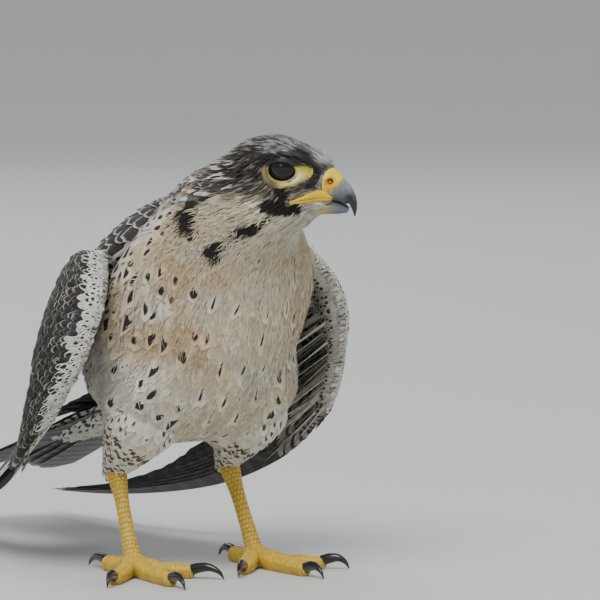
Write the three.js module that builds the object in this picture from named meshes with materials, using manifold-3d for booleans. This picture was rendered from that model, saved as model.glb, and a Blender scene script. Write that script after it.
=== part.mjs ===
// A life-size peregrine falcon, standing with its wings drooped and its head turned to its left.
// Millimetres, +Z up. The bird faces -Y, its left side is +X, and the floor is z = 0.
import * as THREE from "three";
import { mergeVertices } from "three/addons/utils/BufferGeometryUtils.js";
import Module from "manifold-3d";

const wasm = await Module();
wasm.setup();

// Driving dimensions
const GAP = 0.3; // between two nodes that meet

const HEAD_TURN = 45; // degrees to the bird's left
const NECK_PIVOT = 68; // forward of the origin, the upright axis that the head turns about
const EYE_LINE = { forward: 85.5, height: 221 }; // of the two eyes, before the head turns
const EYE = { radius: 9.2, out: 13.4, opening: 6.4, wide: 1.06, high: 0.84, ahead: 18, lid: 1.15 };

const TAIL = { feathers: 12, length: 178, width: 22, root: 12, fan: 40, drop: 21, layer: 0.9 };
const VANE = 0.55; // thickness of a flight feather in the solids

const LEG = { knee: [31, -14, 100], ankle: [34, 27, 57], foot: [37, 3, 11] };
const TARSUS = { top: 5.0, shaft: 3.5, foot: 4.6 };
const TOES = [
  { name: "inner", aim: -38, length: 36, radius: 4.4, claw: 17 },
  { name: "middle", aim: 4, length: 52, radius: 4.3, claw: 15 },
  { name: "outer", aim: 42, length: 41, radius: 4.0, claw: 13 },
  { name: "hind", aim: 176, length: 25, radius: 4.6, claw: 18 },
];

const COLOUR = {
  breast: 0xcfc2a8,
  crown: 0x4a4a4c,
  neck: 0xb9ab90,
  wing: 0x3e3f42,
  tail: 0x55585c,
  thigh: 0xd0c8b4,
  skin: 0xe2b51c,
  bill: 0x5c6670,
  claw: 0x16161a,
  eye: 0x0c0a0a,
};

// Numbers and vectors
const degrees = Math.PI / 180;
const clamp01 = (x) => Math.min(1, Math.max(0, x));
const mix = (a, b, x) => a + (b - a) * x;
const smooth = (a, b, x) => {
  const k = clamp01((x - a) / (b - a));
  return k * k * (3 - 2 * k);
};
const vec = (p) => new THREE.Vector3(...p);

// A smooth curve through evenly spaced rows of numbers (Catmull-Rom), read at x from 0 to 1
function through(rows, x) {
  const last = rows.length - 1;
  const place = clamp01(x) * last;
  const i = Math.min(last - 1, Math.floor(place));
  const k = place - i;
  const row = (j) => {
    if (j < 0) return rows[0].map((v, c) => 2 * v - rows[1][c]);
    if (j > last) return rows[last].map((v, c) => 2 * v - rows[last - 1][c]);
    return rows[j];
  };
  const [p0, p1, p2, p3] = [row(i - 1), row(i), row(i + 1), row(i + 2)];
  return p1.map((v, c) => {
    const slope1 = (p2[c] - p0[c]) / 2;
    const slope2 = (p3[c] - v) / 2;
    const a = 2 * v - 2 * p2[c] + slope1 + slope2;
    const b = -3 * v + 3 * p2[c] - 2 * slope1 - slope2;
    return ((a * k + b) * k + slope1) * k + v;
  });
}

// Solids: a closed triangle mesh becomes a manifold-3d solid, and goes back to a geometry at the end.
// Points that fall together are merged, and a face that this flattens is left out.
function solid(points, faces) {
  const geometry = new THREE.BufferGeometry()
    .setAttribute("position", new THREE.Float32BufferAttribute(points.flat(), 3))
    .setIndex(faces.flat());
  const merged = mergeVertices(geometry, 1e-4);
  const index = merged.index.array;
  const kept = [];
  for (let i = 0; i < index.length; i += 3) {
    const [a, b, c] = index.slice(i, i + 3);
    if (a !== b && b !== c && c !== a) kept.push(a, b, c);
  }
  const made = new wasm.Manifold(
    new wasm.Mesh({
      numProp: 3,
      vertProperties: merged.attributes.position.array,
      triVerts: new Uint32Array(kept),
    }),
  );
  return made.volume() < 0 ? solid(points, faces.map(([a, b, c]) => [a, c, b])) : made;
}

// A three.js geometry as a solid
function solidOf(geometry) {
  const points = [];
  const position = geometry.getAttribute("position");
  for (let i = 0; i < position.count; i++)
    points.push([position.getX(i), position.getY(i), position.getZ(i)]);
  const faces = [];
  const index = geometry.index.array;
  for (let i = 0; i < index.length; i += 3) faces.push([index[i], index[i + 1], index[i + 2]]);
  return solid(points, faces);
}

// A slab between two grids of points, which are triangulated alike, with walls round its rim
function slab(upper, lower) {
  const [rows, columns] = [upper.length, upper[0].length];
  const points = [...upper.flat(), ...lower.flat()];
  const under = rows * columns;
  const faces = [];
  for (let i = 0; i + 1 < rows; i++)
    for (let j = 0; j + 1 < columns; j++) {
      const a = i * columns + j;
      const [b, c, d] = [a + 1, a + columns + 1, a + columns];
      faces.push([a, b, c], [a, c, d]);
      faces.push([under + a, under + c, under + b], [under + a, under + d, under + c]);
    }
  const wall = (a, b) => faces.push([a, under + a, under + b], [a, under + b, b]);
  for (let j = 0; j + 1 < columns; j++) {
    const end = (rows - 1) * columns + j;
    wall(j, j + 1);
    wall(end + 1, end);
  }
  for (let i = 0; i + 1 < rows; i++) {
    const start = i * columns;
    wall(start + columns, start);
    wall(start + columns - 1, start + 2 * columns - 1);
  }
  return solid(points, faces);
}

const centre = (ring) => ring.reduce((m, p) => m.map((v, c) => v + p[c] / ring.length), [0, 0, 0]);

// A ring moved away from its neighbour, to make a cutter longer than the part that it clears
function moved(ring, neighbour, by) {
  const away = vec(centre(ring)).sub(vec(centre(neighbour))).setLength(by);
  return ring.map((p) => vec(p).add(away).toArray());
}

// Rings of the same number of points, skinned and closed by a flat cap at each end
function loft(given, grow = 0) {
  const rings = [...given];
  if (grow > 0) {
    rings[0] = moved(given[0], given[1], grow);
    rings[rings.length - 1] = moved(given.at(-1), given.at(-2), grow);
  }
  const n = rings[0].length;
  const points = rings.flat();
  const faces = [];
  for (let i = 0; i + 1 < rings.length; i++)
    for (let j = 0; j < n; j++) {
      const [a, b] = [i * n + j, i * n + ((j + 1) % n)];
      faces.push([a, b, b + n], [a, b + n, a + n]);
    }
  for (const [ring, turn] of [
    [0, 1],
    [rings.length - 1, 0],
  ]) {
    points.push(centre(rings[ring]));
    for (let j = 0; j < n; j++) {
      const [a, b] = [ring * n + j, ring * n + ((j + 1) % n)];
      faces.push(turn ? [points.length - 1, b, a] : [points.length - 1, a, b]);
    }
  }
  return solid(points, faces);
}

const join = (parts) => parts.reduce((all, part) => all.add(part));
const mirrored = (p, side) => [p[0] * side, p[1], p[2]];

// Keeps only the largest closed surface, which fills a sealed hollow and drops a loose scrap
function largest(made) {
  const pieces = made.decompose();
  return pieces.reduce((best, s) => (s.volume() > best.volume() ? s : best), pieces[0]);
}

// A round bar along a smooth path of rows [x, y, z, radius across, radius along up]
function bar(rows, steps, sides, up = [0, 0, 1], grow = 0) {
  const rings = [];
  for (let i = 0; i <= steps; i++) {
    const x = i / steps;
    const [px, py, pz, across, high] = through(rows, x);
    const ahead = vec(through(rows, x + 0.01).slice(0, 3));
    const back = vec(through(rows, x - 0.01).slice(0, 3));
    const along = ahead.sub(back).normalize();
    const side = new THREE.Vector3().crossVectors(along, vec(up)).normalize();
    const top = new THREE.Vector3().crossVectors(side, along);
    rings.push(
      Array.from({ length: sides }, (_, j) => {
        const turn = (j / sides) * 2 * Math.PI;
        const [s, t] = [Math.cos(turn) * (across + grow), Math.sin(turn) * (high + grow)];
        return [
          px + side.x * s + top.x * t,
          py + side.y * s + top.y * t,
          pz + side.z * s + top.z * t,
        ];
      }),
    );
  }
  return loft(rings, grow);
}

// The trunk: one skin from the tail base to the bill base, drawn as a side outline.
// Each row is a ring: back [forward, height], belly [forward, height], half width, turn to the left
// in degrees, and the level of the widest place, from 0 at the belly to 1 at the back.
const TRUNK = [
  [-77, 99, -70, 77, 20, 0, 0.5], // tail base
  [-62, 114, -47, 70, 31, 0, 0.5], // vent
  [-45, 135, -12, 68, 42, 0, 0.48], // thighs
  [-27, 159, 27, 82, 47, 0, 0.48], // belly
  [-10, 182, 53, 111, 47.5, 0, 0.5], // breast
  [8, 201, 67, 141, 45, 0, 0.54], // crop
  [25, 215, 77, 168, 38, 10, 0.53], // neck base
  [42, 221, 89, 185, 29, 34, 0.5], // nape and throat
  [53, 226, 94.5, 190, 24, HEAD_TURN, 0.52], // back of the head
  [64.5, 234, 97.5, 193, 23.5, HEAD_TURN, 0.52], // crown
  [79.5, 236.5, 100.5, 195, 22.5, HEAD_TURN, 0.52], // over the eyes
  [93.5, 232, 103.5, 196.5, 19, HEAD_TURN, 0.52], // forehead
  [103, 227.5, 106, 198, 14, HEAD_TURN, 0.5], // lores
  [109, 222, 108.5, 200, 9, HEAD_TURN, 0.5], // bill base
];
const TRUNK_CUTS = { neck: 6 / 13, head: 7.55 / 13 };

// A point of the head's or neck's own plane [forward, height, out to the left], turned about the pivot
function turned([forward, height, out], turn) {
  const [s, c] = [Math.sin(turn * degrees), Math.cos(turn * degrees)];
  const ahead = forward - NECK_PIVOT;
  return [ahead * s + out * c, -NECK_PIVOT - ahead * c + out * s, height];
}

// The loose feathers of the flank fill the room between the body and the hanging wing: how much they
// widen the trunk, at an angle round it from its widest level
const FLANK = { swell: 8, above: 16, spread: 30, from: [0.06, 0.2], to: [0.34, 0.47] };

function flank(x, around) {
  const above = Math.asin(Math.sin(around)) / degrees;
  const there = smooth(...FLANK.from, x) * (1 - smooth(...FLANK.to, x));
  return FLANK.swell * there * Math.exp(-(((above - FLANK.above) / FLANK.spread) ** 2));
}

// The head is pinched in front of the eye, where it meets the cere
const LORES = { depth: 4.4, from: [8, 17], low: [-20, -15], high: [-2, 3] };

function lores(forward, height) {
  const level = smooth(...LORES.low, height) * (1 - smooth(...LORES.high, height));
  return LORES.depth * smooth(...LORES.from, forward) * level;
}

function trunkRing(x, sides, grow) {
  const [backF, backH, bellyF, bellyH, half, turn, wide] = through(TRUNK, x);
  const length = Math.hypot(backF - bellyF, backH - bellyH);
  const up = [(backF - bellyF) / length, (backH - bellyH) / length];
  const middle = [mix(bellyF, backF, wide), mix(bellyH, backH, wide)];
  return Array.from({ length: sides }, (_, j) => {
    const around = (j / sides) * 2 * Math.PI;
    const reach = (Math.sin(around) > 0 ? (1 - wide) * length : wide * length) + grow;
    const rise = Math.sin(around) * reach;
    const [forward, height] = [0, 1].map((c) => middle[c] + up[c] * rise);
    const pinch = lores(forward - EYE_LINE.forward, height - EYE_LINE.height);
    const out = Math.cos(around) * (half + grow + flank(x, around) - pinch);
    return turned([forward, height, out], turn);
  });
}

function trunk(from, to, rings, sides, grow = 0) {
  return loft(
    Array.from({ length: rings + 1 }, (_, i) => trunkRing(mix(from, to, i / rings), sides, grow)),
    grow,
  );
}

const headPoint = (forward, height, out) =>
  turned([EYE_LINE.forward + forward, EYE_LINE.height + height, out], HEAD_TURN);

// The eye: a ball, and the ring of bare lid round its opening
function eyeCentre(side) {
  return headPoint(0, 0, EYE.out * side);
}

function ball(centre, radius) {
  return solidOf(new THREE.SphereGeometry(radius, 14, 9).translate(...centre));
}

function lid(side) {
  const rings = 16;
  const depth = Math.sqrt(EYE.radius ** 2 - EYE.opening ** 2);
  const ahead = EYE.ahead * degrees;
  const axis = [Math.sin(ahead), 0, Math.cos(ahead) * side];
  const across = [Math.cos(ahead), 0, -Math.sin(ahead) * side];
  const points = [];
  const faces = [];
  const sides = 5;
  for (let i = 0; i < rings; i++) {
    const round = (i / rings) * 2 * Math.PI;
    for (let j = 0; j < sides; j++) {
      const turn = (j / sides) * 2 * Math.PI;
      const wide = EYE.opening + EYE.lid * 0.6 + Math.cos(turn) * EYE.lid;
      const deep = depth + 0.2 + Math.sin(turn) * EYE.lid;
      const f = across[0] * Math.cos(round) * wide * EYE.wide + axis[0] * deep;
      const o = across[2] * Math.cos(round) * wide * EYE.wide + axis[2] * deep;
      points.push(headPoint(f, Math.sin(round) * wide * EYE.high, o + EYE.out * side));
      const [a, b] = [i * sides + j, i * sides + ((j + 1) % sides)];
      const ringOn = (k) => (k + sides) % (rings * sides);
      faces.push([a, b, ringOn(b)], [a, ringOn(b), ringOn(a)]);
    }
  }
  return solid(points, faces);
}

// The shelf of bone over the eye: rows are forward, height, out, radius across and high
function brow(side) {
  const rows = [
    [17, 0.8, 12.4, 1.6, 1.5],
    [11, 4.8, 16.0, 2.4, 2.0],
    [3, 7.4, 19.2, 3.0, 2.4],
    [-6, 7.4, 20.8, 3.0, 2.5],
    [-15, 4.6, 20.4, 2.0, 2.0],
  ].map(([f, h, o, across, high]) => [...headPoint(f, h, o * side), across, high]);
  return bar(rows, 5, 6);
}

// The bill: rows are forward and height of the ridge, forward and height of the lower edge, half width
const UPPER_BILL = [
  [21.5, -0.5, 13, -15.6, 8.4], // under the forehead feathers
  [26.2, -4.2, 18, -16.4, 8.0], // nostril
  [29.8, -7.8, 23, -17.2, 6.6], // front of the cere
  [33.2, -12.2, 28.6, -18.8, 4.9], // tooth
  [35.1, -17.2, 31.8, -20.2, 3.3], // notch
  [35.4, -22.2, 33.4, -23.4, 1.6], // hook
  [34.6, -26, 34, -26, 0.35], // tip
];
const CERE_END = 2 / 6;
const NOSTRIL = { forward: 22.8, height: -8.2, radius: 1.8, depth: 2.6, peg: 0.65 };

function billRing(rows, x, sides, grow) {
  const [topF, topH, lowF, lowH, half] = through(rows, x);
  const length = Math.hypot(topF - lowF, topH - lowH);
  const up = [(topF - lowF) / length, (topH - lowH) / length];
  return Array.from({ length: sides }, (_, j) => {
    const around = ((j + 0.5) / sides) * 2 * Math.PI;
    const [c, s] = [Math.cos(around), Math.sin(around)];
    const rise = (0.42 + 0.58 * s) * length * (s > 0 ? 1 : 0.72) + (s > 0 ? grow : -grow) * 1;
    const out = Math.sign(c) * Math.abs(c) ** 0.8 * (half + grow) * (s > 0 ? 1 - 0.25 * s * s : 1);
    const level = Math.max(rise, -grow);
    return headPoint(lowF + up[0] * level, lowH + up[1] * level, out);
  });
}

function bill(rows, from, to, rings, sides, grow = 0) {
  return loft(
    Array.from({ length: rings + 1 }, (_, i) =>
      billRing(rows, mix(from, to, i / rings), sides, grow),
    ),
    grow,
  );
}

// The yellow edge of the mouth, from under the cere back to its corner below the eye: the upper lip,
// the lower one, or the slot in the head that both lie in
const LIPS = {
  upper: { drop: 0, across: 1, high: 1, grow: 0 },
  lower: { drop: -2.3, across: 1, high: 1, grow: 0 },
  slot: { drop: -1.15, across: 1.05, high: 1.9, grow: GAP },
};

function lip(side, { drop, across, high, grow }) {
  const rows = [
    [24.5, -15.8 + drop, 7.4, 1.2, 1.2],
    [18.5, -15.0 + drop, 10.2, 1.5, 1.4],
    [11.5, -15.8 + drop * 0.9, 13.6, 1.5, 1.2],
    [5.5, -18.0 + drop * 0.5, 16.6, 1.0, 0.9],
  ].map(([f, h, o, a, b]) => [...headPoint(f, h, o * side), a * across, b * high]);
  return bar(rows, 5, 8, [0, 0, 1], grow);
}

const LOWER_BILL = [
  [17, -17.8, 13, -25.2, 8.2],
  [23, -17.8, 20.5, -24.9, 6.6],
  [28, -19.3, 26, -24.8, 4.8],
  [31.2, -21.2, 30.2, -24.3, 2.5],
];

// The nostril: a round pit in the cere, with a small peg standing in it
function nostril(side) {
  const at = (depth) => headPoint(NOSTRIL.forward, NOSTRIL.height, (9.6 - depth) * side);
  const drill = (radius, from, to) =>
    bar(
      [
        [...at(from), radius, radius],
        [...at(to), radius, radius],
      ],
      1,
      12,
    );
  return { pit: drill(NOSTRIL.radius, 0, NOSTRIL.depth + 1.6), peg: drill(NOSTRIL.peg, 2.1, 5) };
}

// The wing as a curved sheet: four edges from top to bottom, six places from the bend of the wing to
// the tip, for the left wing. The drooped wing stands off the body in front and closes in behind.
const WING_NET = [
  [ [58, -8, 174], [58, 20, 169], [52, 50, 149], [42, 90, 113], [34, 160, 72], [34, 252, 36] ],
  [ [70, -27, 150], [76, 8, 142], [66, 46, 118], [46, 94, 83], [37, 168, 51], [35, 268, 27] ],
  [ [79, -20, 117], [87, 12, 107], [73, 50, 80], [58, 102, 52], [46, 180, 33], [38, 284, 19] ],
  [ [86, 4, 84], [88, 26, 68], [82, 58, 48], [72, 112, 30], [56, 192, 18], [42, 300, 12] ],
];

function wingAt(along, down, side) {
  const point = through(
    WING_NET.map((row) => through(row, along)),
    down,
  );
  return mirrored(point, side);
}

// The way out of the wing's upper face at a place on its sheet
function wingOut(along, down, side) {
  const step = 0.01;
  const at = (a, d) => vec(wingAt(a, d, side));
  const ahead = at(along + step, down).sub(at(along - step, down));
  const lower = at(along, down + step).sub(at(along, down - step));
  return new THREE.Vector3().crossVectors(lower, ahead).multiplyScalar(side).normalize();
}

// A point over the sheet, given by its lift in millimetres
function overWing(along, down, lift, side) {
  return vec(wingAt(along, down, side)).addScaledVector(wingOut(along, down, side), lift).toArray();
}

// The flesh of the wing is round at its front rim and thinner to the rear
const HAND_JOIN = 0.585; // down the wing
const FLESH = {
  arm: { along: 0.44, down: [0, HAND_JOIN], thick: 7, lift: 0 },
  hand: { along: 0.4, down: [HAND_JOIN + 0.004, 1], thick: 4.2, lift: -1.4 },
};
const FLESH_REAR = 2.4; // half its thickness where the long feathers leave it
const FLESH_STATIONS = [0, 0.015, 0.06, 0.15, 0.28, 0.45, 0.7, 1];

function fleshHalf({ along, down, thick }, a, d) {
  const x = clamp01(a / along);
  const y = clamp01((d - down[0]) / (down[1] - down[0]));
  const ends = Math.sqrt(1 - Math.abs(2 * y - 1) ** 10);
  const rear = mix(thick, FLESH_REAR, clamp01((x - 0.28) / 0.72) ** 0.75);
  const front = Math.sqrt(1 - (1 - Math.min(1, x / 0.28)) ** 2);
  return Math.max(0.35, rear * front * ends);
}

function pillow(flesh, rows, side) {
  const face = (sign) =>
    FLESH_STATIONS.map((x) =>
      Array.from({ length: rows + 1 }, (_, j) => {
        const [a, d] = [x * flesh.along, mix(...flesh.down, j / rows)];
        return overWing(a, d, flesh.lift + sign * fleshHalf(flesh, a, d), side);
      }),
    );
  return slab(face(1), face(-1));
}

// How a feather's width runs from its root at 0 to its rounded tip at 1
const blade = (x) => Math.min(1, 0.6 + 1.4 * x) * Math.sqrt(1 - clamp01((x - 0.68) / 0.35) ** 2);

// One feather on a sheet: at(along, across, lift) gives its points and span(along, across) the
// millimetres of one unit across. It bends at the stations, which its neighbours share, so that
// they stay apart. Its lift is layer over the next one's, at a distance of pitch, flat is the number
// of straight pieces across it, and its front vane reaches no further than edge.
function vane({ at, span, stations, root, tip, width, rise, layer, pitch, flat = 1, edge = 9 }) {
  const bends = stations.filter((a) => a > root[0] + 0.02 && a < tip[0] - 0.02);
  const places = [root[0], ...bends, tip[0]].map((a) => (a - root[0]) / (tip[0] - root[0]));
  const face = (sign) =>
    places.map((x) => {
      const [along, across] = [mix(root[0], tip[0], x), mix(root[1], tip[1], x)];
      const half = ((width / 2) * blade(x)) / span(along, across);
      return Array.from({ length: flat + 1 }, (_, j) => {
        const reach = Math.min(half * ((2 * j) / flat - 1), edge - across);
        return at(along, across + reach, rise(along, x) + (layer * reach) / pitch + (sign * VANE) / 2);
      });
    });
  return slab(face(1), face(-1));
}

// The tiers of the wing: places are along and down its sheet, from the feather nearest the body to
// the one at the front edge. Each lies over the next one out. The long feathers leave the flesh at
// its rear, and the coverts rise through its upper face to clear it.
const ARM_TIERS = [
  { count: 10, width: 22, down: [0.11, 0.505], root: 0.36, tip: [0.5, 0.61], clear: null },
  { count: 6, width: 23, down: [0.14, 0.5], root: 0.17, tip: [0.37, 0.38], clear: 1.5 },
  { count: 5, width: 24, down: [0.14, 0.49], root: 0.07, tip: [0.21, 0.22], clear: 1.4 },
];
const HAND_TIERS = [
  { count: 10, width: 18, down: [0.672, 0.965], root: 0.34, clear: null },
  { count: 5, width: 18, down: [0.68, 0.95], root: 0.12, tip: [0.35, 0.38], clear: 1.5 },
  { count: 2, width: 11, down: [0.83, 0.92], root: 0.03, tip: [0.2, 0.17], clear: 1.6 },
];
const WING_STATIONS = [0.28, 0.44, 0.58, 0.74, 0.9];
const PRIMARY_TIPS = [0.64, 0.67, 0.7, 0.74, 0.79, 0.84, 0.9, 0.96, 1, 0.975];
const LAYER = 0.92;

// The sheet with straight runs between the stations
function facetWing(along, across, lift, side) {
  const stations = [0, 0.07, 0.17, ...WING_STATIONS, 1.2];
  const k = stations.findIndex((a) => a > along) - 1;
  const x = (along - stations[k]) / (stations[k + 1] - stations[k]);
  const [a, b] = [stations[k], stations[k + 1]].map((at) => overWing(at, across, lift, side));
  return a.map((v, c) => mix(v, b[c], x));
}

function wingTier({ count, width, down, root, tip, clear }, flesh, side) {
  const span = (along, across) => {
    const [a, b] = [wingAt(along, across - 0.04, side), wingAt(along, across + 0.04, side)];
    return vec(a).distanceTo(vec(b)) / 0.08;
  };
  return Array.from({ length: count }, (_, i) => {
    const x = i / (count - 1);
    const d = mix(...down, x);
    const end = tip ? mix(...tip, smooth(0, 0.6, x)) : PRIMARY_TIPS[i];
    const rise = (along, run) => {
      if (clear === null) return flesh.lift;
      const above = clear + fleshHalf(flesh, along, d);
      return flesh.lift + mix(above - 4.2, above, smooth(0, 0.3, run));
    };
    return vane({
      at: (along, across, lift) => facetWing(along, across, lift, side),
      span,
      stations: WING_STATIONS,
      root: [root, d],
      tip: [end, tip ? d : mix(d, 0.9, 0.12)],
      width,
      rise,
      layer: LAYER,
      pitch: (down[1] - down[0]) / (count - 1),
      edge: 0.999 - 0.003 * (count - 1 - i),
    });
  });
}

function wing(side) {
  const upperArm = bar(
    [
      [...mirrored([32, -12, 160], side), 15, 13],
      [...mirrored([50, 0, 160], side), 14, 13],
      [...mirrored([56, 20, 155], side), 9, 10],
    ],
    2,
    10,
  );
  const vanes = (tiers, flesh) => tiers.flatMap((tier) => wingTier(tier, flesh, side));
  const arm = [pillow(FLESH.arm, 4, side), ...vanes(ARM_TIERS, FLESH.arm)];
  const hand = [pillow(FLESH.hand, 4, side), ...vanes(HAND_TIERS, FLESH.hand)];
  return { arm: join([...arm, upperArm, shoulder(side), ...scapulars(side)]), hand: join(hand) };
}

// The shoulder: the flesh and feathers that lie over the root of the wing and beside the back.
// Rows are x, y, z, half width and half depth.
const SHOULDER = [
  [9, -48, 198, 12, 9],
  [27, -18, 190, 19, 12],
  [38, 12, 172, 19, 11],
  [43, 42, 147, 16, 8],
  [41, 72, 119, 11, 4],
  [37, 98, 98, 4, 1.5],
];

const SHOULDER_UP = [0.45, 0.35, 0.82];

function shoulder(side) {
  const rows = SHOULDER.map(([x, y, z, wide, deep]) => [x * side, y, z, wide, deep]);
  return bar(rows, 6, 8, mirrored(SHOULDER_UP, side));
}

// A place over the shoulder: along it from 0 to 1, and across it from -1 at the back to 1 outside
function overShoulder(along, across, lift, side) {
  const [x, y, z, wide, deep] = through(SHOULDER, along);
  const ahead = vec(through(SHOULDER, along + 0.02)).sub(vec(through(SHOULDER, along - 0.02)));
  const out = new THREE.Vector3().crossVectors(ahead, vec(SHOULDER_UP)).normalize();
  if (out.x < 0) out.negate();
  const top = new THREE.Vector3().crossVectors(out, ahead).normalize();
  if (top.z < 0) top.negate();
  const turn = across * 70 * degrees;
  const point = new THREE.Vector3(x, y, z)
    .addScaledVector(out, Math.sin(turn) * (wide + lift))
    .addScaledVector(top, Math.cos(turn) * (deep + lift));
  return mirrored(point.toArray(), side);
}

// The feathers of the shoulder lie in tiers over the root of the wing
const SCAPULAR_TIERS = [
  { root: 0.5, tip: 0.95, lift: 1.8, places: [-0.6, 0] },
  { root: 0.3, tip: 0.72, lift: 2.6, places: [-0.62, -0.14, 0.34] },
  { root: 0.14, tip: 0.48, lift: 3.4, places: [-0.5, 0.1] },
];

function scapulars(side) {
  return SCAPULAR_TIERS.flatMap(({ root, tip, lift, places }) =>
    places.map((across, i) =>
      vane({
        at: (along, place, rise) => overShoulder(along, place, rise, side),
        span: () => 20,
        stations: [0.25, 0.42, 0.62, 0.8],
        root: [root, across],
        tip: [tip - 0.03 * i, across * 0.9],
        width: 20,
        rise: (along, x) => mix(-3.4, lift, smooth(0, 0.3, x)),
        layer: LAYER,
        pitch: 0.48,
        flat: 2,
      }),
    ),
  );
}

// The tail: a short root block and its feathers, which lie under the middle pair
const TAIL_ROOT = { y: 74, z: 87.5 };

// Half the width of the fan, x from its root to its tip
const fanHalf = (x) => mix(TAIL.root, TAIL.fan, x);

// The fan as a sheet: along it from root to tip, and across from -1 at the right to 1 at the left
function tailAt(along, across, lift) {
  const drop = TAIL.drop * degrees;
  const run = along * TAIL.length;
  const height = TAIL_ROOT.z - run * Math.sin(drop) + 9 * along ** 2 + lift;
  return [across * fanHalf(along), TAIL_ROOT.y + run * Math.cos(drop), height];
}

// The middle feather is on top, and each pair outside it lies lower
function tailVane(i) {
  const middle = (TAIL.feathers - 1) / 2;
  const across = ((i - middle) / middle) * 0.84;
  const rank = Math.round(2 * Math.abs(i - middle) - (i > middle ? 1 : 0));
  return vane({
    at: tailAt,
    span: fanHalf,
    stations: [0.3, 0.6, 0.85],
    root: [0.04, across],
    tip: [1 - 0.05 * Math.abs(across), across],
    width: TAIL.width,
    rise: () => 4 - TAIL.layer * rank,
    layer: 0,
    pitch: 1,
  });
}

function tail() {
  const root = bar(
    [
      [0, 74, 87.5, 17, 9],
      [0, 88, 82, 16, 7.5],
      [0, 104, 76.5, 14, 5.5],
    ],
    3,
    12,
  );
  return join([root, ...Array.from({ length: TAIL.feathers }, (_, i) => tailVane(i))]);
}

// Legs
function thigh(side, grow = 0) {
  const [knee, ankle] = [LEG.knee, LEG.ankle].map((p) => mirrored(p, side));
  const at = (x) => knee.map((v, c) => mix(v, ankle[c], x));
  return bar(
    [
      [...at(-0.1), 20, 20],
      [...at(0.3), 21, 24],
      [...at(0.68), 14, 17],
      [...at(1.0), 7, 9],
    ],
    6,
    14,
    [0, 0, 1],
    grow,
  );
}

function tarsus(side, grow = 0) {
  const [ankle, foot] = [LEG.ankle, LEG.foot].map((p) => mirrored(p, side));
  const at = (x) => ankle.map((v, c) => mix(v, foot[c], x));
  return bar(
    [
      [...at(-0.1), TARSUS.top, TARSUS.top],
      [...at(0.12), TARSUS.top, TARSUS.top * 1.1],
      [...at(0.4), TARSUS.shaft, TARSUS.shaft * 1.15],
      [...at(0.75), TARSUS.shaft, TARSUS.shaft * 1.1],
      [...at(1.05), TARSUS.foot, TARSUS.foot],
    ],
    5,
    9,
    [0, 0, 1],
    grow,
  );
}

function toePoint(toe, side, along, height) {
  const aim = toe.aim * degrees;
  const [x, y] = [LEG.foot[0] + Math.sin(aim) * along, LEG.foot[1] - Math.cos(aim) * along];
  return mirrored([x, y, height], side);
}

// A toe lies on the floor: arched at its root, with pads under its joints
function toeBar(toe, side) {
  const rows = [];
  const joints = 10;
  for (let i = 0; i <= joints; i++) {
    const x = i / joints;
    const pads = 0.5 + 0.5 * Math.cos(x * 6 * Math.PI);
    const radius = toe.radius * (mix(1.04, 0.8, x) + 0.1 * pads);
    const height = mix(7.2, toe.radius * 0.78, smooth(0, 0.45, x));
    rows.push([...toePoint(toe, side, x * toe.length, height), radius, radius]);
  }
  return bar(rows, 8, 6);
}

function claw(toe, side, grow = 0) {
  const rows = [
    [-2.2 - grow, 4.6, 2.6, 2.9],
    [0.22 * toe.claw, 6.2, 2.3, 2.7],
    [0.55 * toe.claw, 6.3, 1.8, 2.0],
    [0.84 * toe.claw, 4.2, 1.1, 1.2],
    [1.0 * toe.claw, 0.9, 0.35, 0.35],
  ].map(([run, height, across, high]) => [
    ...toePoint(toe, side, toe.length + run, height),
    across,
    high,
  ]);
  return bar(rows, 5, 6, [0, 0, 1], grow);
}

// A wide block under the floor, which trims the pads to small flats at z = 0
function underFloor() {
  return solidOf(new THREE.BoxGeometry(400, 400, 20).translate(0, 0, -10));
}

function foot(side) {
  const toes = join(TOES.map((toe) => toeBar(toe, side)));
  const sockets = join(TOES.map((toe) => claw(toe, side, GAP)));
  return toes.subtract(sockets).subtract(underFloor());
}

// Assembly: each node is cut clear of what it grows from, and named
const nodes = {};
const put = (name, made, colour, roughness = 0.8) => {
  nodes[name] = { made: largest(made), colour, roughness };
};

const sideName = (side) => (side > 0 ? "left" : "right");
const shave = GAP / 330; // a gap of about 0.3 mm, as a share of the trunk's length

const torsoPart = (grow) => trunk(0, TRUNK_CUTS.neck - shave, 14, 28, grow);
const neckPart = (grow) => trunk(TRUNK_CUTS.neck + shave, TRUNK_CUTS.head - shave, 4, 28, grow);
const trunkGrown = torsoPart(GAP).add(neckPart(GAP));
put("torso", torsoPart(0), COLOUR.breast);
put("neck", neckPart(0), COLOUR.neck);

const eyeballs = [1, -1].map((side) => ball(eyeCentre(side), EYE.radius));
const sockets = [1, -1].map((side) => ball(eyeCentre(side), EYE.radius + 1.4 * GAP));
const lips = (kind) => [1, -1].map((side) => lip(side, LIPS[kind]));
const cere = bill(UPPER_BILL, 0.02, CERE_END, 3, 16, 0.35);
const upperGrown = bill(UPPER_BILL, 0, 1, 10, 16, 0.35 + GAP);
const lowerBill = bill(LOWER_BILL, 0.05, 1, 5, 14);

let head = join([
  trunk(TRUNK_CUTS.head + shave, 1, 11, 28),
  ...[1, -1].flatMap((side) => [lid(side), brow(side)]),
]);
for (const cut of [
  ...sockets,
  upperGrown,
  bill(LOWER_BILL, 0.05, 1, 5, 14, GAP),
  ...lips("slot"),
])
  head = head.subtract(cut);
put("head", head, COLOUR.crown);
[1, -1].forEach((side, i) => put("eye_" + sideName(side), eyeballs[i], COLOUR.eye, 0.1));

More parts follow.
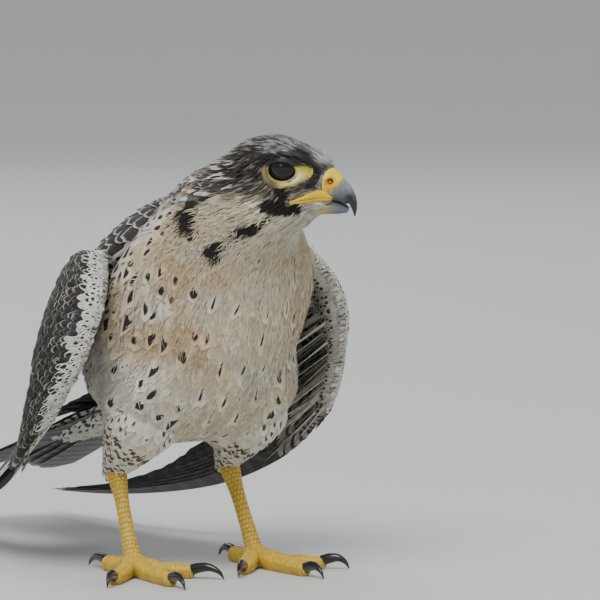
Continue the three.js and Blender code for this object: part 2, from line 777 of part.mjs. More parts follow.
let cereWhole = join([cere, ...lips("upper")]);
for (const side of [1, -1]) {
  const { pit, peg } = nostril(side);
  cereWhole = cereWhole.subtract(pit).add(peg);
}
put("cere", cereWhole, COLOUR.skin, 0.5);
put("bill_upper", bill(UPPER_BILL, CERE_END + 0.02, 1, 8, 16), COLOUR.bill, 0.35);
put(
  "bill_lower",
  [upperGrown, ...[1, -1].map((side) => lip(side, { ...LIPS.upper, grow: GAP }))].reduce(
    (made, cut) => made.subtract(cut),
    join([lowerBill, ...lips("lower")]),
  ),
  COLOUR.skin,
  0.4,
);

put("tail", tail().subtract(trunkGrown), COLOUR.tail);

for (const side of [1, -1]) {
  const name = sideName(side);
  const { arm, hand } = wing(side);
  put("wing_" + name + "_arm", arm.subtract(trunkGrown), COLOUR.wing);
  put("wing_" + name + "_hand", hand.subtract(trunkGrown), COLOUR.wing);
  put("thigh_" + name, thigh(side).subtract(trunkGrown), COLOUR.thigh);
  const shank = tarsus(side).subtract(thigh(side, GAP));
  put("foot_" + name, foot(side).subtract(tarsus(side, GAP)), COLOUR.skin, 0.5);
  put("tarsus_" + name, shank, COLOUR.skin, 0.5);
  for (const toe of TOES)
    put("claw_" + name + "_" + toe.name, claw(toe, side), COLOUR.claw, 0.3);
}

const falcon = new THREE.Group();
for (const [name, { made, colour, roughness }] of Object.entries(nodes)) {
  const { numProp, vertProperties, triVerts } = made.getMesh();
  const geometry = new THREE.BufferGeometry()
    .setAttribute("position", new THREE.BufferAttribute(vertProperties, numProp))
    .setIndex(new THREE.BufferAttribute(triVerts, 1));
  const material = new THREE.MeshStandardMaterial({ color: colour, roughness, metalness: 0 });
  const mesh = new THREE.Mesh(geometry, material);
  mesh.name = name;
  falcon.add(mesh);
}

// The origin goes to the middle of the outer box, at floor level
const middle = new THREE.Box3().setFromObject(falcon).getCenter(new THREE.Vector3());
for (const mesh of falcon.children) mesh.geometry.translate(-middle.x, -middle.y, 0);

export default falcon;
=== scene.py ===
"""A peregrine falcon at life size, standing with drooped wings, dressed feather by feather.

Metres, +Z up. The bird faces -Y, its left side is +X, and its head is turned to its left.
"""

import bpy
import numpy as np
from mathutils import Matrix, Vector


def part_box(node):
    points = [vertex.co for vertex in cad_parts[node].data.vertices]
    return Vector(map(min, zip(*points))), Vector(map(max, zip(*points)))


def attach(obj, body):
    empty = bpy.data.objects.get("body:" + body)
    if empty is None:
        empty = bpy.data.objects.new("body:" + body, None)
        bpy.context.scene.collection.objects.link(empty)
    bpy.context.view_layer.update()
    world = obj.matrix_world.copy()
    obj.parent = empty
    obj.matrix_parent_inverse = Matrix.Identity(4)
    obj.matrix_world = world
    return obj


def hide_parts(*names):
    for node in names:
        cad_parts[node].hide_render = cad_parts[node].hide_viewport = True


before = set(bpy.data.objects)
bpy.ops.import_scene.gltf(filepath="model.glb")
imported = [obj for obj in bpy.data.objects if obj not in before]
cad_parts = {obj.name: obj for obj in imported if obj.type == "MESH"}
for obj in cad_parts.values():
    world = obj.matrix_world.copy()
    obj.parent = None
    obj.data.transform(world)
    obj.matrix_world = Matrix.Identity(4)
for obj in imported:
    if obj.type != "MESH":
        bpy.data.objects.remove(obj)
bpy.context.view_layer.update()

# The camera
# A long lens about three metres away, level with the bird's back and a little to its right. Places on
# the bird are given in millimetres from a point on the floor, which the two eyes of the frame locate.
MM = 0.001
EYES_MIDDLE = np.array([12.374, -80.374, 221.0])  # half way between the eyes
eye_corners = np.array([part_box("eye_" + side) for side in ("left", "right")])
SHIFT = eye_corners.reshape(4, 3).mean(0) - EYES_MIDDLE * MM

CAMERA_AIM = (54.5, -16.9, 144.0)
CAMERA_AWAY = 3.0
CAMERA_AZIMUTH, CAMERA_ELEVATION = np.radians([-30.0, 5.0])
WIDTH_SEEN = 0.3198  # across the picture, at the distance of the place it looks at


def placed(points):
    """Millimetres in the bird's own measure to metres in the frame: scaled, then shifted."""
    return np.asarray(points, float) * MM + SHIFT


camera_data = bpy.data.cameras.new("camera")
camera_data.sensor_width = 36.0
camera_data.lens = camera_data.sensor_width * CAMERA_AWAY / WIDTH_SEEN
camera = bpy.data.objects.new("camera", camera_data)
bpy.context.scene.collection.objects.link(camera)
level = np.cos(CAMERA_ELEVATION)
toward_camera = Vector((np.sin(CAMERA_AZIMUTH) * level, -np.cos(CAMERA_AZIMUTH) * level,
                        np.sin(CAMERA_ELEVATION)))
camera.location = Vector(placed(CAMERA_AIM)) + toward_camera * CAMERA_AWAY
camera.rotation_mode = "QUATERNION"
camera.rotation_quaternion = (-toward_camera).to_track_quat("-Z", "Y")
bpy.context.scene.camera = camera

# The skin
# One closed skin of the trunk, neck, head, thighs, shoulders and the flesh of the wings, a coat's depth
# inside the plumage. It is soft flesh, remeshed as one so that no seam shows, and coloured darker than
# the feathers over it as painted shade.


def through(rows, x):
    """A smooth curve through evenly spaced rows: between two rows a cubic whose slope at a row is half
    the step between that row's neighbours; past either end the curve runs straight on. The rows are
    the same for every x, or each x has its own."""
    rows = np.asarray(rows, float)
    last = len(rows) - 1
    x = np.asarray(x, float)
    inside = np.clip(x, 0, 1)
    place = inside * last
    i = np.minimum(last - 1, np.floor(place).astype(int))
    k = (place - i)[..., None]
    padded = np.concatenate([[2 * rows[0] - rows[1]], rows, [2 * rows[-1] - rows[-2]]])
    if rows.ndim == 2:
        p0, p1, p2, p3 = (padded[i + j] for j in range(4))
    else:
        p0, p1, p2, p3 = (np.take_along_axis(padded, (i + j)[None, ..., None], 0)[0] for j in range(4))
    s1, s2 = (p2 - p0) / 2, (p3 - p1) / 2
    value = (((2 * p1 - 2 * p2 + s1 + s2) * k - 3 * p1 + 3 * p2 - 2 * s1 - s2) * k + s1) * k + p1
    end_step = np.where((x < 0)[..., None], rows[1] - rows[0], rows[-1] - rows[-2])
    return value + ((x - inside) * last)[..., None] * end_step


def blend(a, b, x):
    """a where x is 0, b where x is 1, and straight between."""
    return a + (b - a) * x


def smooth(low, high, x):
    """0 below low, 1 above high, and an S curve between."""
    k = np.clip((np.asarray(x, float) - low) / (high - low), 0, 1)
    return k * k * (3 - 2 * k)


def bell(x, middle, width):
    """1 at the middle, and e to the minus square of the distance from it, in widths, elsewhere."""
    return np.exp(-(((x - middle) / width) ** 2))


def unit(vectors):
    """Vectors shortened or lengthened to 1."""
    return vectors / np.maximum(np.linalg.norm(vectors, axis=-1, keepdims=True), 1e-12)


# Rings of the trunk from tail base to bill base: back forward and height, belly forward and height,
# half width, turn to the left in degrees, and the level of the widest place
TRUNK = [
    [-77, 99, -70, 77, 20, 0, 0.5],
    [-62, 114, -47, 70, 31, 0, 0.5],
    [-45, 135, -12, 68, 42, 0, 0.48],
    [-27, 159, 27, 82, 47, 0, 0.48],
    [-10, 182, 53, 111, 47.5, 0, 0.5],
    [8, 201, 67, 141, 45, 0, 0.54],
    [25, 215, 77, 168, 38, 10, 0.53],
    [42, 221, 89, 185, 29, 34, 0.5],
    [53, 226, 94.5, 190, 24, 45, 0.52],
    [64.5, 234, 97.5, 193, 23.5, 45, 0.52],
    [79.5, 236.5, 100.5, 195, 22.5, 45, 0.52],
    [93.5, 232, 103.5, 196.5, 19, 45, 0.52],
    [103, 227.5, 106, 198, 14, 45, 0.5],
    [109, 222, 108.5, 200, 9, 45, 0.5],
]
NECK_PIVOT = 68.0  # forward of the start, the upright axis that the head turns about
EYE_LINE = (85.5, 221.0)  # forward and height of the two eyes, before the head turns
HEAD_TURN = np.radians(45)
FLANK_SWELL, FLANK_ABOVE, FLANK_SPREAD = 8.0, 16.0, 30.0
LORES_DEPTH = 4.4


def flank(x, around):
    """How much the loose feathers of the flank widen the trunk: a bell curve about a level a little
    above its widest, from the rump to the shoulder."""
    above = np.degrees(np.arcsin(np.sin(around)))
    there = smooth(0.06, 0.2, x) * (1 - smooth(0.34, 0.47, x))
    return FLANK_SWELL * there * bell(above, FLANK_ABOVE, FLANK_SPREAD)


def lores(forward, height):
    """How deep the head is pinched in front of the eye, where it meets the cere."""
    level = smooth(-20, -15, height) * (1 - smooth(-2, 3, height))
    return LORES_DEPTH * smooth(8, 17, forward) * level


def trunk(x, around, lift):
    """A ring of the trunk is two half ellipses on one width: its points lie at cos(around) times the
    half width to the side and sin(around) times the reach up or down, each longer by the lift, and
    the ring is turned to the left about the neck's pivot."""
    back_f, back_h, belly_f, belly_h, half, turn, wide = np.moveaxis(through(TRUNK, x), -1, 0)
    length = np.hypot(back_f - belly_f, back_h - belly_h)
    c, s = np.cos(around), np.sin(around)
    rise = s * (np.where(s > 0, 1 - wide, wide) * length + lift)
    f = blend(belly_f, back_f, wide) + (back_f - belly_f) / length * rise
    h = blend(belly_h, back_h, wide) + (back_h - belly_h) / length * rise
    out = c * (half + lift + flank(x, around) - lores(f - EYE_LINE[0], h - EYE_LINE[1]))
    f = f - NECK_PIVOT
    turn = np.radians(turn)
    return np.stack(
        [f * np.sin(turn) + out * np.cos(turn), out * np.sin(turn) - NECK_PIVOT - f * np.cos(turn), h],
        -1,
    )


def on_head(forward, height, out):
    """From the point between the eyes: forward along the bill's line, up, and out to the left."""
    s, c = np.sin(HEAD_TURN), np.cos(HEAD_TURN)
    forward, height, out = np.broadcast_arrays(forward, height, out)
    return EYES_MIDDLE + np.stack([forward * s + out * c, out * s - forward * c, height * 1.0], -1)


def head_measure(points):
    """The forward, height and out of points, the reverse of on_head."""
    s, c = np.sin(HEAD_TURN), np.cos(HEAD_TURN)
    x, y, z = np.moveaxis(points - EYES_MIDDLE, -1, 0)
    return x * s - y * c, z, x * c + y * s


def tube(rows, up):
    """A round limb along a smooth path of rows x, y, z, half width, half depth: at(along, around, lift)
    goes cos(around) of the half width to the side and sin(around) of the half depth to the top."""

    def at(along, around, lift):
        row = through(rows, along)
        path = unit(through(rows, along + 0.01)[..., :3] - through(rows, along - 0.01)[..., :3])
        side = unit(np.cross(path, np.broadcast_to(up, path.shape)))
        top = np.cross(side, path)
        across = (np.cos(around) * (row[..., 3] + lift))[..., None]
        high = (np.sin(around) * (row[..., 4] + lift))[..., None]
        return row[..., :3] + side * across + top * high

    return at


KNEE, ANKLE, FOOT = np.array([31, -14, 100]), np.array([34, 27, 57]), np.array([37, 3, 11])
THIGH = [[-0.1, 20, 20], [0.3, 21, 24], [0.68, 14, 17], [1.0, 7, 9]]
SHOULDER = [
    [9, -48, 198, 12, 9],
    [27, -18, 190, 19, 12],
    [38, 12, 172, 19, 11],
    [43, 42, 147, 16, 8],
    [41, 72, 119, 11, 4],
    [37, 98, 98, 4, 1.5],
]
SHOULDER_UP = np.array([0.45, 0.35, 0.82])


def thigh(side):
    """The limb from the knee, inside the belly, to the ankle."""
    rows = [[*blend(KNEE, ANKLE, x) * (side, 1, 1), a, b] for x, a, b in THIGH]
    return tube(rows, (0, 0, 1))


def shoulder(side):
    """The limb of the shoulder, over the root of the wing and beside the back."""
    rows = np.array(SHOULDER, float) * (side, 1, 1, 1, 1)
    return tube(rows, SHOULDER_UP * (side, 1, 1))


KNEE_NET = (61, 97)  # places along the rear of the trunk, and around it
KNEE_END = 0.6  # how far along the trunk the net reaches
KNEE_BLEND, KNEE_FREE, KNEE_GIVE = 12.0, 9.0, 5.0
KNEE_STEP, KNEE_MOST = 0.5, 25  # millimetres between the lifts that are tried, and the last of them


def knee_net():
    """On a grid along and around the trunk, the lift at which the trunk and the two thighs end as one
    smooth surface: the first lift where the smooth minimum of the distances from both is above 0. Past
    KNEE_FREE it grows ever less, by KNEE_GIVE at most."""
    x, around = np.meshgrid(
        np.linspace(0, KNEE_END, KNEE_NET[0]), np.linspace(0, 2 * np.pi, KNEE_NET[1]), indexing="ij"
    )
    place, half_width, half_depth = np.array(THIGH).T
    lifts = np.arange(0, KNEE_MOST, KNEE_STEP)
    levels = []
    for lift in lifts:
        points = trunk(x, around, np.full_like(x, lift))
        apart = np.full(x.shape, 1e3)
        for side in (1, -1):
            knee, way = KNEE * (side, 1, 1), (ANKLE - KNEE) * (side, 1, 1)
            a = np.clip((points - knee) @ way / (way @ way), 0, 0.8)
            radius = np.interp(a, place, (half_width + half_depth) / 2)
            gap = np.linalg.norm(points - knee - way * a[..., None], axis=-1) - radius
            apart = np.minimum(apart, gap)
        k = np.clip(0.5 + 0.5 * (apart - lift) / KNEE_BLEND, 0, 1)
        levels.append(blend(apart, lift, k) - KNEE_BLEND * k * (1 - k))
    levels = np.array(levels)
    levels[-1] = 1e-3 + np.maximum(levels[-1], 0)
    first = np.argmax(levels > 0, axis=0)[None]
    before = np.take_along_axis(levels, first - 1, 0)[0]
    after = np.take_along_axis(levels, first, 0)[0]
    lift = lifts[first[0] - 1] + KNEE_STEP * before / (before - after)
    over = np.maximum(0, lift - KNEE_FREE)
    return np.minimum(lift, KNEE_FREE) + KNEE_GIVE * (1 - np.exp(-over / KNEE_GIVE))


KNEE_LIFT = knee_net()


def body_sheet(x, around, lift):
    """The trunk with its loose belly feathers pushed out where they pass over the knees."""
    u = np.clip(x / KNEE_END, 0, 1) * (KNEE_NET[0] - 1)
    v = (around / (2 * np.pi)) % 1 * (KNEE_NET[1] - 1)
    i = np.minimum(KNEE_NET[0] - 2, np.floor(u).astype(int))
    j = np.minimum(KNEE_NET[1] - 2, np.floor(v).astype(int))
    u, v = u - i, v - j
    near = blend(KNEE_LIFT[i, j], KNEE_LIFT[i, j + 1], v)
    far = blend(KNEE_LIFT[i + 1, j], KNEE_LIFT[i + 1, j + 1], v)
    return trunk(x, around, lift + blend(near, far, u))


# The wing as a curved sheet for the left side: four edges from top to bottom, six places each from the
# bend of the wing to its tip
WING_NET = np.array([
    [[58, -8, 174], [58, 20, 169], [52, 50, 149], [42, 90, 113], [34, 160, 72], [34, 252, 36]],
    [[70, -27, 150], [76, 8, 142], [66, 46, 118], [46, 94, 83], [37, 168, 51], [35, 268, 27]],
    [[79, -20, 117], [87, 12, 107], [73, 50, 80], [58, 102, 52], [46, 180, 33], [38, 284, 19]],
    [[86, 4, 84], [88, 26, 68], [82, 58, 48], [72, 112, 30], [56, 192, 18], [42, 300, 12]],
], float)
FLESH = {
    "arm": {"along": 0.44, "down": (0, 0.585), "thick": 7, "lift": 0},
    "hand": {"along": 0.4, "down": (0.589, 1), "thick": 4.2, "lift": -1.4},
}
FLESH_REAR = 2.4
RIM = 0.28  # share of the flesh, from its front, that is rounded


def wing(side):
    """at(along, down, lift): a smooth curve along each of the four edges, another down through the
    four points found, and the lift along the way out of the upper face."""

    def sheet(along, down):
        edges = np.stack([through(edge, along) for edge in WING_NET])
        return through(edges, down)

    def at(along, down, lift):
        along, down, lift = np.broadcast_arrays(along, down, lift)
        step = 0.01
        ahead = sheet(along + step, down) - sheet(along - step, down)
        lower = sheet(along, down + step) - sheet(along, down - step)
        out = unit(np.cross(lower, ahead))
        return (sheet(along, down) + out * lift[..., None]) * (side, 1, 1)

    return at


def flesh_half(flesh, along, down):
    """Half the thickness of the wing's flesh: round at its front rim and thinner to the rear."""
    x = np.clip(along / flesh["along"], 0, 1)
    y = np.clip((down - flesh["down"][0]) / (flesh["down"][1] - flesh["down"][0]), 0, 1)
    ends = np.sqrt(1 - np.abs(2 * y - 1) ** 10)
    rear = blend(flesh["thick"], FLESH_REAR, np.clip((x - RIM) / (1 - RIM), 0, 1) ** 0.75)
    front = np.sqrt(1 - (1 - np.minimum(1, x / RIM)) ** 2)
    return np.maximum(0.35, rear * front * ends)


def closed_tube(points):
    """Faces of a grid of rings (rings, sides, 3), joined round and closed at each end by a fan."""
    rings, sides = points.shape[:2]
    a = np.arange(rings * sides).reshape(rings, sides)
    b = np.roll(a, -1, 1)
    quads = np.stack([a[:-1], b[:-1], b[1:], a[1:]], -1).reshape(-1, 4)
    first = np.full(sides, rings * sides)
    fans = [np.stack([b[0], a[0], first], -1), np.stack([a[-1], b[-1], first + 1], -1)]
    ends = np.stack([points[0].mean(0), points[-1].mean(0)])
    return np.concatenate([points.reshape(-1, 3), ends]), [quads, *fans]


def mesh_piece(name, points, faces, material=None, uv=None, values=None):
    """A mesh object from points in millimetres and lists of faces, turned to face outwards. uv is one
    pair for each point, and values are named point attributes with 1, 3 or 4 numbers each."""
    points = placed(points)
    triangles = np.concatenate([f[:, [0, i, i + 1]] for f in faces for i in range(1, f.shape[1] - 1)])
    corner = points[triangles] - points.mean(0)
    if np.einsum("ij,ij->i", corner[:, 0], np.cross(corner[:, 1], corner[:, 2])).sum() < 0:
        faces = [f[:, ::-1] for f in faces]
    sizes = np.concatenate([np.full(len(f), f.shape[1]) for f in faces])
    corners = np.concatenate([f.ravel() for f in faces]).astype(np.int32)
    mesh = bpy.data.meshes.new(name)
    mesh.vertices.add(len(points))
    mesh.vertices.foreach_set("co", points.astype(np.float32).ravel())
    mesh.loops.add(len(corners))
    mesh.loops.foreach_set("vertex_index", corners)
    mesh.polygons.add(len(sizes))
    mesh.polygons.foreach_set("loop_start", (np.cumsum(sizes) - sizes).astype(np.int32))
    mesh.polygons.foreach_set("use_smooth", np.ones(len(sizes), bool))
    mesh.update(calc_edges=True)
    if uv is not None:
        layer = mesh.uv_layers.new(name="OFBake")
        layer.data.foreach_set("uv", uv[corners].astype(np.float32).ravel())
    kinds = {1: ("FLOAT", "value"), 3: ("FLOAT_VECTOR", "vector"), 4: ("FLOAT_COLOR", "color")}
    for key, value in (values or {}).items():
        value = np.asarray(value, np.float32).reshape(len(points), -1)
        kind, field = kinds[value.shape[1]]
        mesh.attributes.new(key, kind, "POINT").data.foreach_set(field, value.ravel())
    made = bpy.data.objects.new(name, mesh)
    bpy.context.scene.collection.objects.link(made)
    if material:
        mesh.materials.append(material)
    return made


def ring_grid(at, lift, rings, sides, start=0.0, end=1.0):
    """The points of at() on a grid of rings, at one lift or one for each ring."""
    along = np.linspace(start, end, rings)[:, None]
    around = np.linspace(0, 2 * np.pi, sides, endpoint=False)[None, :]
    along, around = np.broadcast_arrays(along, around)
    return at(along, around, np.broadcast_to(lift, along.shape))


# How deep the coat is, in millimetres, at places from tail base to bill base
DEPTH_AT = [0, 0.15, 0.4, 0.5, 0.6, 0.8, 1]
COAT_DEPTH = [3.0, 4.0, 4.0, 3.2, 1.8, 1.2, 0.7]
UNDER = {"thigh": 4.5, "shoulder": 3.0, "arm": 2.0, "hand": 1.2}
EYE_OUT, EYE_RADIUS = 13.4, 9.2
GRAIN_OF_SKIN = 1.6  # millimetres between the places of the joined skin


def coat_depth(x):
    """How deep the coat is at a place along the trunk."""
    return np.interp(x, DEPTH_AT, COAT_DEPTH)


def flesh_pillow(flesh, side, depth):
    """The flesh of the wing: the two faces of the sheet, half its thickness apart, joined round."""
    spread = np.linspace(0, 1, 26) ** 1.5
    along = np.concatenate([spread, spread[-2:0:-1]]) * flesh["along"]
    sign = np.concatenate([np.ones(26), -np.ones(24)])
    down = blend(*flesh["down"], np.linspace(0.01, 0.99, 40))
    along, sign, down = np.broadcast_arrays(along[None, :], sign[None, :], down[:, None])
    half = np.maximum(flesh_half(flesh, along, down) - depth, 0.4)
    return wing(side)(along, down, flesh["lift"] + sign * half)


def joined_skin():
    """All the flesh as closed surfaces in one mesh, remeshed as one skin and smoothed, with a hollow
    pressed in where each eye lies."""
    x = np.linspace(0, 1, 90)
    grids = [ring_grid(body_sheet, -coat_depth(x)[:, None], 90, 96)]
    for side in (1, -1):
        grids.append(ring_grid(thigh(side), -UNDER["thigh"], 40, 40, 0.1, 1.0))
        grids.append(ring_grid(shoulder(side), -UNDER["shoulder"], 40, 40, 0.02, 0.8))
        grids.extend(flesh_pillow(FLESH[part], side, UNDER[part]) for part in ("arm", "hand"))
    points, faces, count = [], [], 0
    for grid in grids:
        p, f = closed_tube(grid)
        corner = p[f[0][:, :3]] - p.mean(0)
        inward = np.einsum("ij,ij->i", corner[:, 0], np.cross(corner[:, 1], corner[:, 2])).sum() < 0
        faces.extend([(g[:, ::-1] if inward else g) + count for g in f])
        points.append(p)
        count += len(p)
    rough = mesh_piece("skin_rough", np.concatenate(points), faces)
    remesh = rough.modifiers.new("one skin", "REMESH")
    remesh.mode = "VOXEL"
    remesh.voxel_size = GRAIN_OF_SKIN * MM
    relax = rough.modifiers.new("relax", "SMOOTH")
    relax.factor = 0.5
    relax.iterations = 6
    shape = bpy.data.meshes.new_from_object(rough.evaluated_get(bpy.context.evaluated_depsgraph_get()))
    bpy.data.objects.remove(rough)
    co = np.zeros(len(shape.vertices) * 3, np.float32)
    shape.vertices.foreach_get("co", co)
    points = (co.reshape(-1, 3) - SHIFT) / MM
    f, h, out = head_measure(points)
    hollow = 1 - smooth(6.4, 9.5, np.hypot(f / 1.06, h / 0.9))
    near = (np.abs(out) > 9) & (hollow > 0)
    pressed = np.sign(out) * np.minimum(np.abs(out), blend(np.abs(out), 15.0, hollow))
    points[near] = on_head(f, h, pressed)[near]
    shape.vertices.foreach_set("co", placed(points).astype(np.float32).ravel())
    shape.polygons.foreach_set("use_smooth", np.ones(len(shape.polygons), bool))
    skin = bpy.data.objects.new("skin", shape)
    bpy.context.scene.collection.objects.link(skin)
    return skin, points


def paint(code):
    """A colour written as six hexadecimal digits of sRGB, as linear red, green and blue."""
    c = np.array([int(code[i : i + 2], 16) for i in (0, 2, 4)]) / 255
    return np.where(c <= 0.04045, c / 12.92, ((c + 0.055) / 1.055) ** 2.4)


def pick(chosen, new, old):
    """new where chosen is 1 and old where it is 0, for rows of colours."""
    return blend(old, new, np.asarray(chosen, float)[:, None])


# The dark marks of the head and neck, the same on both sides, seen from the side in the head's own
# measure: forward, height, half length, half height, tilt in degrees
DARK_PATCHES = [
    [-1.0, -21.6, 11.0, 4.4, -6],  # under the mouth
    [0.5, -14.5, 6.5, 3.4, 110],  # from the eye to the corner of the mouth
    [-15, -32.4, 9.0, 3.0, 22],  # below the cheek
    [-34, -43.5, 5.4, 4.6, 20],  # side of the neck
    [-49.5, -28, 5.2, 9.5, 12],  # nape
    [-43, -18, 2.6, 3.6, -30],
]


def dark_marks(f, h):
    """How far inside a dark patch each place is: 1 in its middle, 0 outside, with a ragged edge."""
    found = np.zeros_like(f)
    for f0, h0, long, high, tilt in DARK_PATCHES:
        c, s = np.cos(np.radians(tilt)), np.sin(np.radians(tilt))
        across = ((f - f0) * c + (h - h0) * s) / long
        rise = ((h - h0) * c - (f - f0) * s) / high
        found = np.maximum(found, 1 - smooth(0.8, 1.15, np.hypot(across, rise)))
    return found


# The lower edge of the dark cheek and nape: forward and height
CAP_EDGE = [
    [-60, -24], [-50, -22], [-42, -19], [-34, -15.5], [-26, -14], [-8, -17], [6, -15], [16, -10]
]
CREAM, BUFF, OCHRE, WHITE = paint("ded4ba"), paint("cdbb9c"), paint("b99a68"), paint("e0ddd3")
SLATE, BLACK_BROWN, LILAC, INK = paint("4b494a"), paint("2e2a27"), paint("9c9595"), paint("17140f")
FRINGE = paint("aaa398")
MARKS_AND_BROW_SHADOW = INK * 1.4  # the patches of head and neck, and the painted shadow of the brow over the eye
STAIN_SIZE = 34.0


def head_ground(f, h, draw):
    """Ground colour of the head and neck by place, f millimetres ahead of the eyes and h above them,
    with one random number for each feather: a dark cap and cheek, paler on the forehead, a streaked
    band below them, and a pale throat, with a painted shadow of the brow as a dark line over the eye
    and down in front of it."""
    ragged = h + (draw - 0.5) * 5
    colour = np.broadcast_to(CREAM, (len(f), 3)) * (0.86 + 0.2 * draw[:, None])
    colour = pick((f < -12) & (draw > 0.72), BUFF * 0.85, colour)
    colour = pick((f < -6) & (h > -40) & (draw > 0.9), paint("75664f"), colour)
    border = np.interp(f, *np.transpose(CAP_EDGE))
    band = smooth(border - 5, border + 1, ragged)
    streaked = pick(draw > 0.5, paint("8d8069"), SLATE * 0.7)
    colour = pick(band, streaked, colour)
    cheek = smooth(border + 1, border + 7, ragged)
    colour = pick(cheek, pick(draw > 0.8, paint("6d655c"), BLACK_BROWN * 1.25), colour)
    nape = smooth(-24, -32, f) * band
    colour = pick(nape * (draw > 0.78), paint("c9c4ba"), colour)
    colour = pick(nape * ((draw > 0.7) & (draw <= 0.75)), paint("8c6a50"), colour)
    crown = smooth(-2.5, 2.5, ragged - np.interp(f, [-30, -14, -4, 8], [10.5, 9.5, 6.5, 6]))
    ahead = smooth(-16, 12, f)[:, None]
    dull, bright = blend(SLATE * 0.95, SLATE * 1.7, ahead), blend(LILAC * 0.85, LILAC * 1.35, ahead)
    colour = pick(crown, pick(draw > 0.45, bright, dull), colour)
    forehead = smooth(9, 17, f + (draw - 0.5) * 5) * smooth(-1, 5, h)
    colour = pick(forehead, paint("c9c4be") * (0.75 + 0.35 * draw[:, None]), colour)
    lore = smooth(9, 13, f) * (1 - smooth(-2, 1.5, h)) * smooth(-15, -11, h)
    colour = pick(lore, paint("57585b"), colour)
    # Painted shadow of the brow: a dark line arching over the eye and down in front of its bare ring.
    line = bell(np.hypot(f - 1, (h + 3) * 1.2), 15.0, 2.2) * (f > 4) * (h > -11)
    brow_shadow = bell(np.hypot((f - 2) / 1.35, h + 3.5), 9.9, 1.25) * (h > 1)
    marked = dark_marks(f, h) > 0.3 + 0.4 * draw
    return pick(np.maximum(marked, np.maximum(line, brow_shadow)), MARKS_AND_BROW_SHADOW, colour)


def stain(points, size):
    """A soft random field from -1 to 1 over places in millimetres: the mean of six waves of about
    that size, each in its own direction."""
    rng = np.random.default_rng(4)
    ways = unit(rng.normal(size=(6, 3))) * 2 * np.pi / (size * rng.uniform(0.7, 1.6, (6, 1)))
    return np.clip(np.sin(points @ ways.T + rng.uniform(0, 6.3, 6)).mean(-1) * 2.2, -1, 1)


def body_ground(x, up, draw, spare, field):
    """Ground colour of the body: buff breast with soft ochre stains, whiter at its middle and on the
    flanks, and a dark mantle on the back."""
    breast = smooth(0.2, 0.34, x)
    colour = blend(WHITE * 0.86, BUFF, breast[:, None])
    colour = pick(smooth(0.7, 0.98, -up) * 0.75, CREAM, colour)
    colour = pick(smooth(0.1, 0.9, field) * 0.55 * smooth(0.0, 0.5, -up) * breast, OCHRE, colour)
    colour = pick(smooth(0.2, 0.9, -field) * 0.5, WHITE * 0.82, colour)
    colour = pick(smooth(0.05, 0.35, up) * 0.8, paint("c6c2b9"), colour)
    mantle = smooth(0.4, 0.52, up + (draw - 0.5) * 0.16)
    colour = colour * (0.9 + 0.18 * draw[:, None])
    return pick(mantle, blend(BLACK_BROWN * 0.7, SLATE * 0.8, spare[:, None]), colour), mantle


SKIN_PAINTED_SHADE = 0.6  # painted shade: how much darker the skin is than the feathers over it, as the shade under them
skin_shape, skin_points = joined_skin()
skin_f, skin_h, _ = head_measure(skin_points)
mid_draw = np.full(len(skin_points), 0.45)
back_line = np.interp(-skin_points[:, 1], [-77, -45, -10, 25, 60], [88, 104, 148, 194, 212])
skin_up = (skin_points[:, 2] - back_line) / 45
skin_x = np.interp(-skin_points[:, 1], [-77, 40], [0, 0.5])
skin_body, _ = body_ground(skin_x, skin_up, mid_draw, mid_draw, stain(skin_points, STAIN_SIZE))
skin_colour = pick(smooth(30, 60, -skin_points[:, 1]), head_ground(skin_f, skin_h, mid_draw), skin_body)
# Painted shade: the skin takes the plumage's ground colour, darkened as the shade under the feathers.
skin_rgba = np.concatenate([skin_colour * SKIN_PAINTED_SHADE, np.ones((len(skin_points), 1))], 1)
skin_ground = skin_shape.data.attributes.new("ground", "FLOAT_COLOR", "POINT")
skin_ground.data.foreach_set("color", skin_rgba.astype(np.float32).ravel())


def node(tree, kind, inputs=None, **settings):
    """A shader node with its settings, and its inputs as numbers or as other nodes' outputs."""
    made = tree.nodes.new("ShaderNode" + kind)
    for key, value in settings.items():
        setattr(made, key, value)
    for key, value in (inputs or {}).items():
        if isinstance(value, bpy.types.NodeSocket):
            tree.links.new(value, made.inputs[key])
        else:
            made.inputs[key].default_value = value
    return made


def sum_of(tree, operation, a, b=0.0, c=0.0):
    """The outcome of one step of arithmetic between sockets or numbers."""
    return node(tree, "Math", {0: a, 1: b, 2: c}, operation=operation).outputs[0]


def ramp(tree, value, low, high, out_low=0.0, out_high=1.0):
    """An S curve from out_low at low to out_high at high."""
    inputs = {"Value": value, "From Min": low, "From Max": high, "To Min": out_low, "To Max": out_high}
    return node(tree, "MapRange", inputs, interpolation_type="SMOOTHSTEP").outputs[0]


def mixed(tree, share, a, b, kind="MIX"):
    """Colour a, and colour b where share is 1."""
    return node(tree, "Mix", {0: share, 6: a, 7: b}, data_type="RGBA", blend_type=kind).outputs[2]


def noise(tree, scale, detail=3.0, roughness=0.55):
    """Noise on the object's own coordinates; scale is its grains in a metre."""
    place = node(tree, "TexCoord").outputs["Object"]
    inputs = {"Vector": place, "Scale": scale, "Detail": detail, "Roughness": roughness}
    return node(tree, "TexNoise", inputs).outputs[0]


def surface(name, roughness, **sockets):
    """A material with one Principled shader, whose constants are set on its own sockets."""
    material = bpy.data.materials.new(name)
    material.use_nodes = True
    tree = material.node_tree
    shader = tree.nodes["Principled BSDF"]
    shader.inputs["Roughness"].default_value = roughness
    for key, value in sockets.items():
        shader.inputs[key.replace("_", " ")].default_value = value
    return material, tree, shader


def bumped(tree, shader, height, distance, strength=1.0):
    """Height, from 0 to 1, as a bump of that many metres."""
    inputs = {"Height": height, "Distance": distance, "Strength": strength}
    tree.links.new(node(tree, "Bump", inputs).outputs[0], shader.inputs["Normal"])


def attribute(tree, name):
    """One of the piece's own attributes, by its name."""
    return node(tree, "Attribute", attribute_name=name)


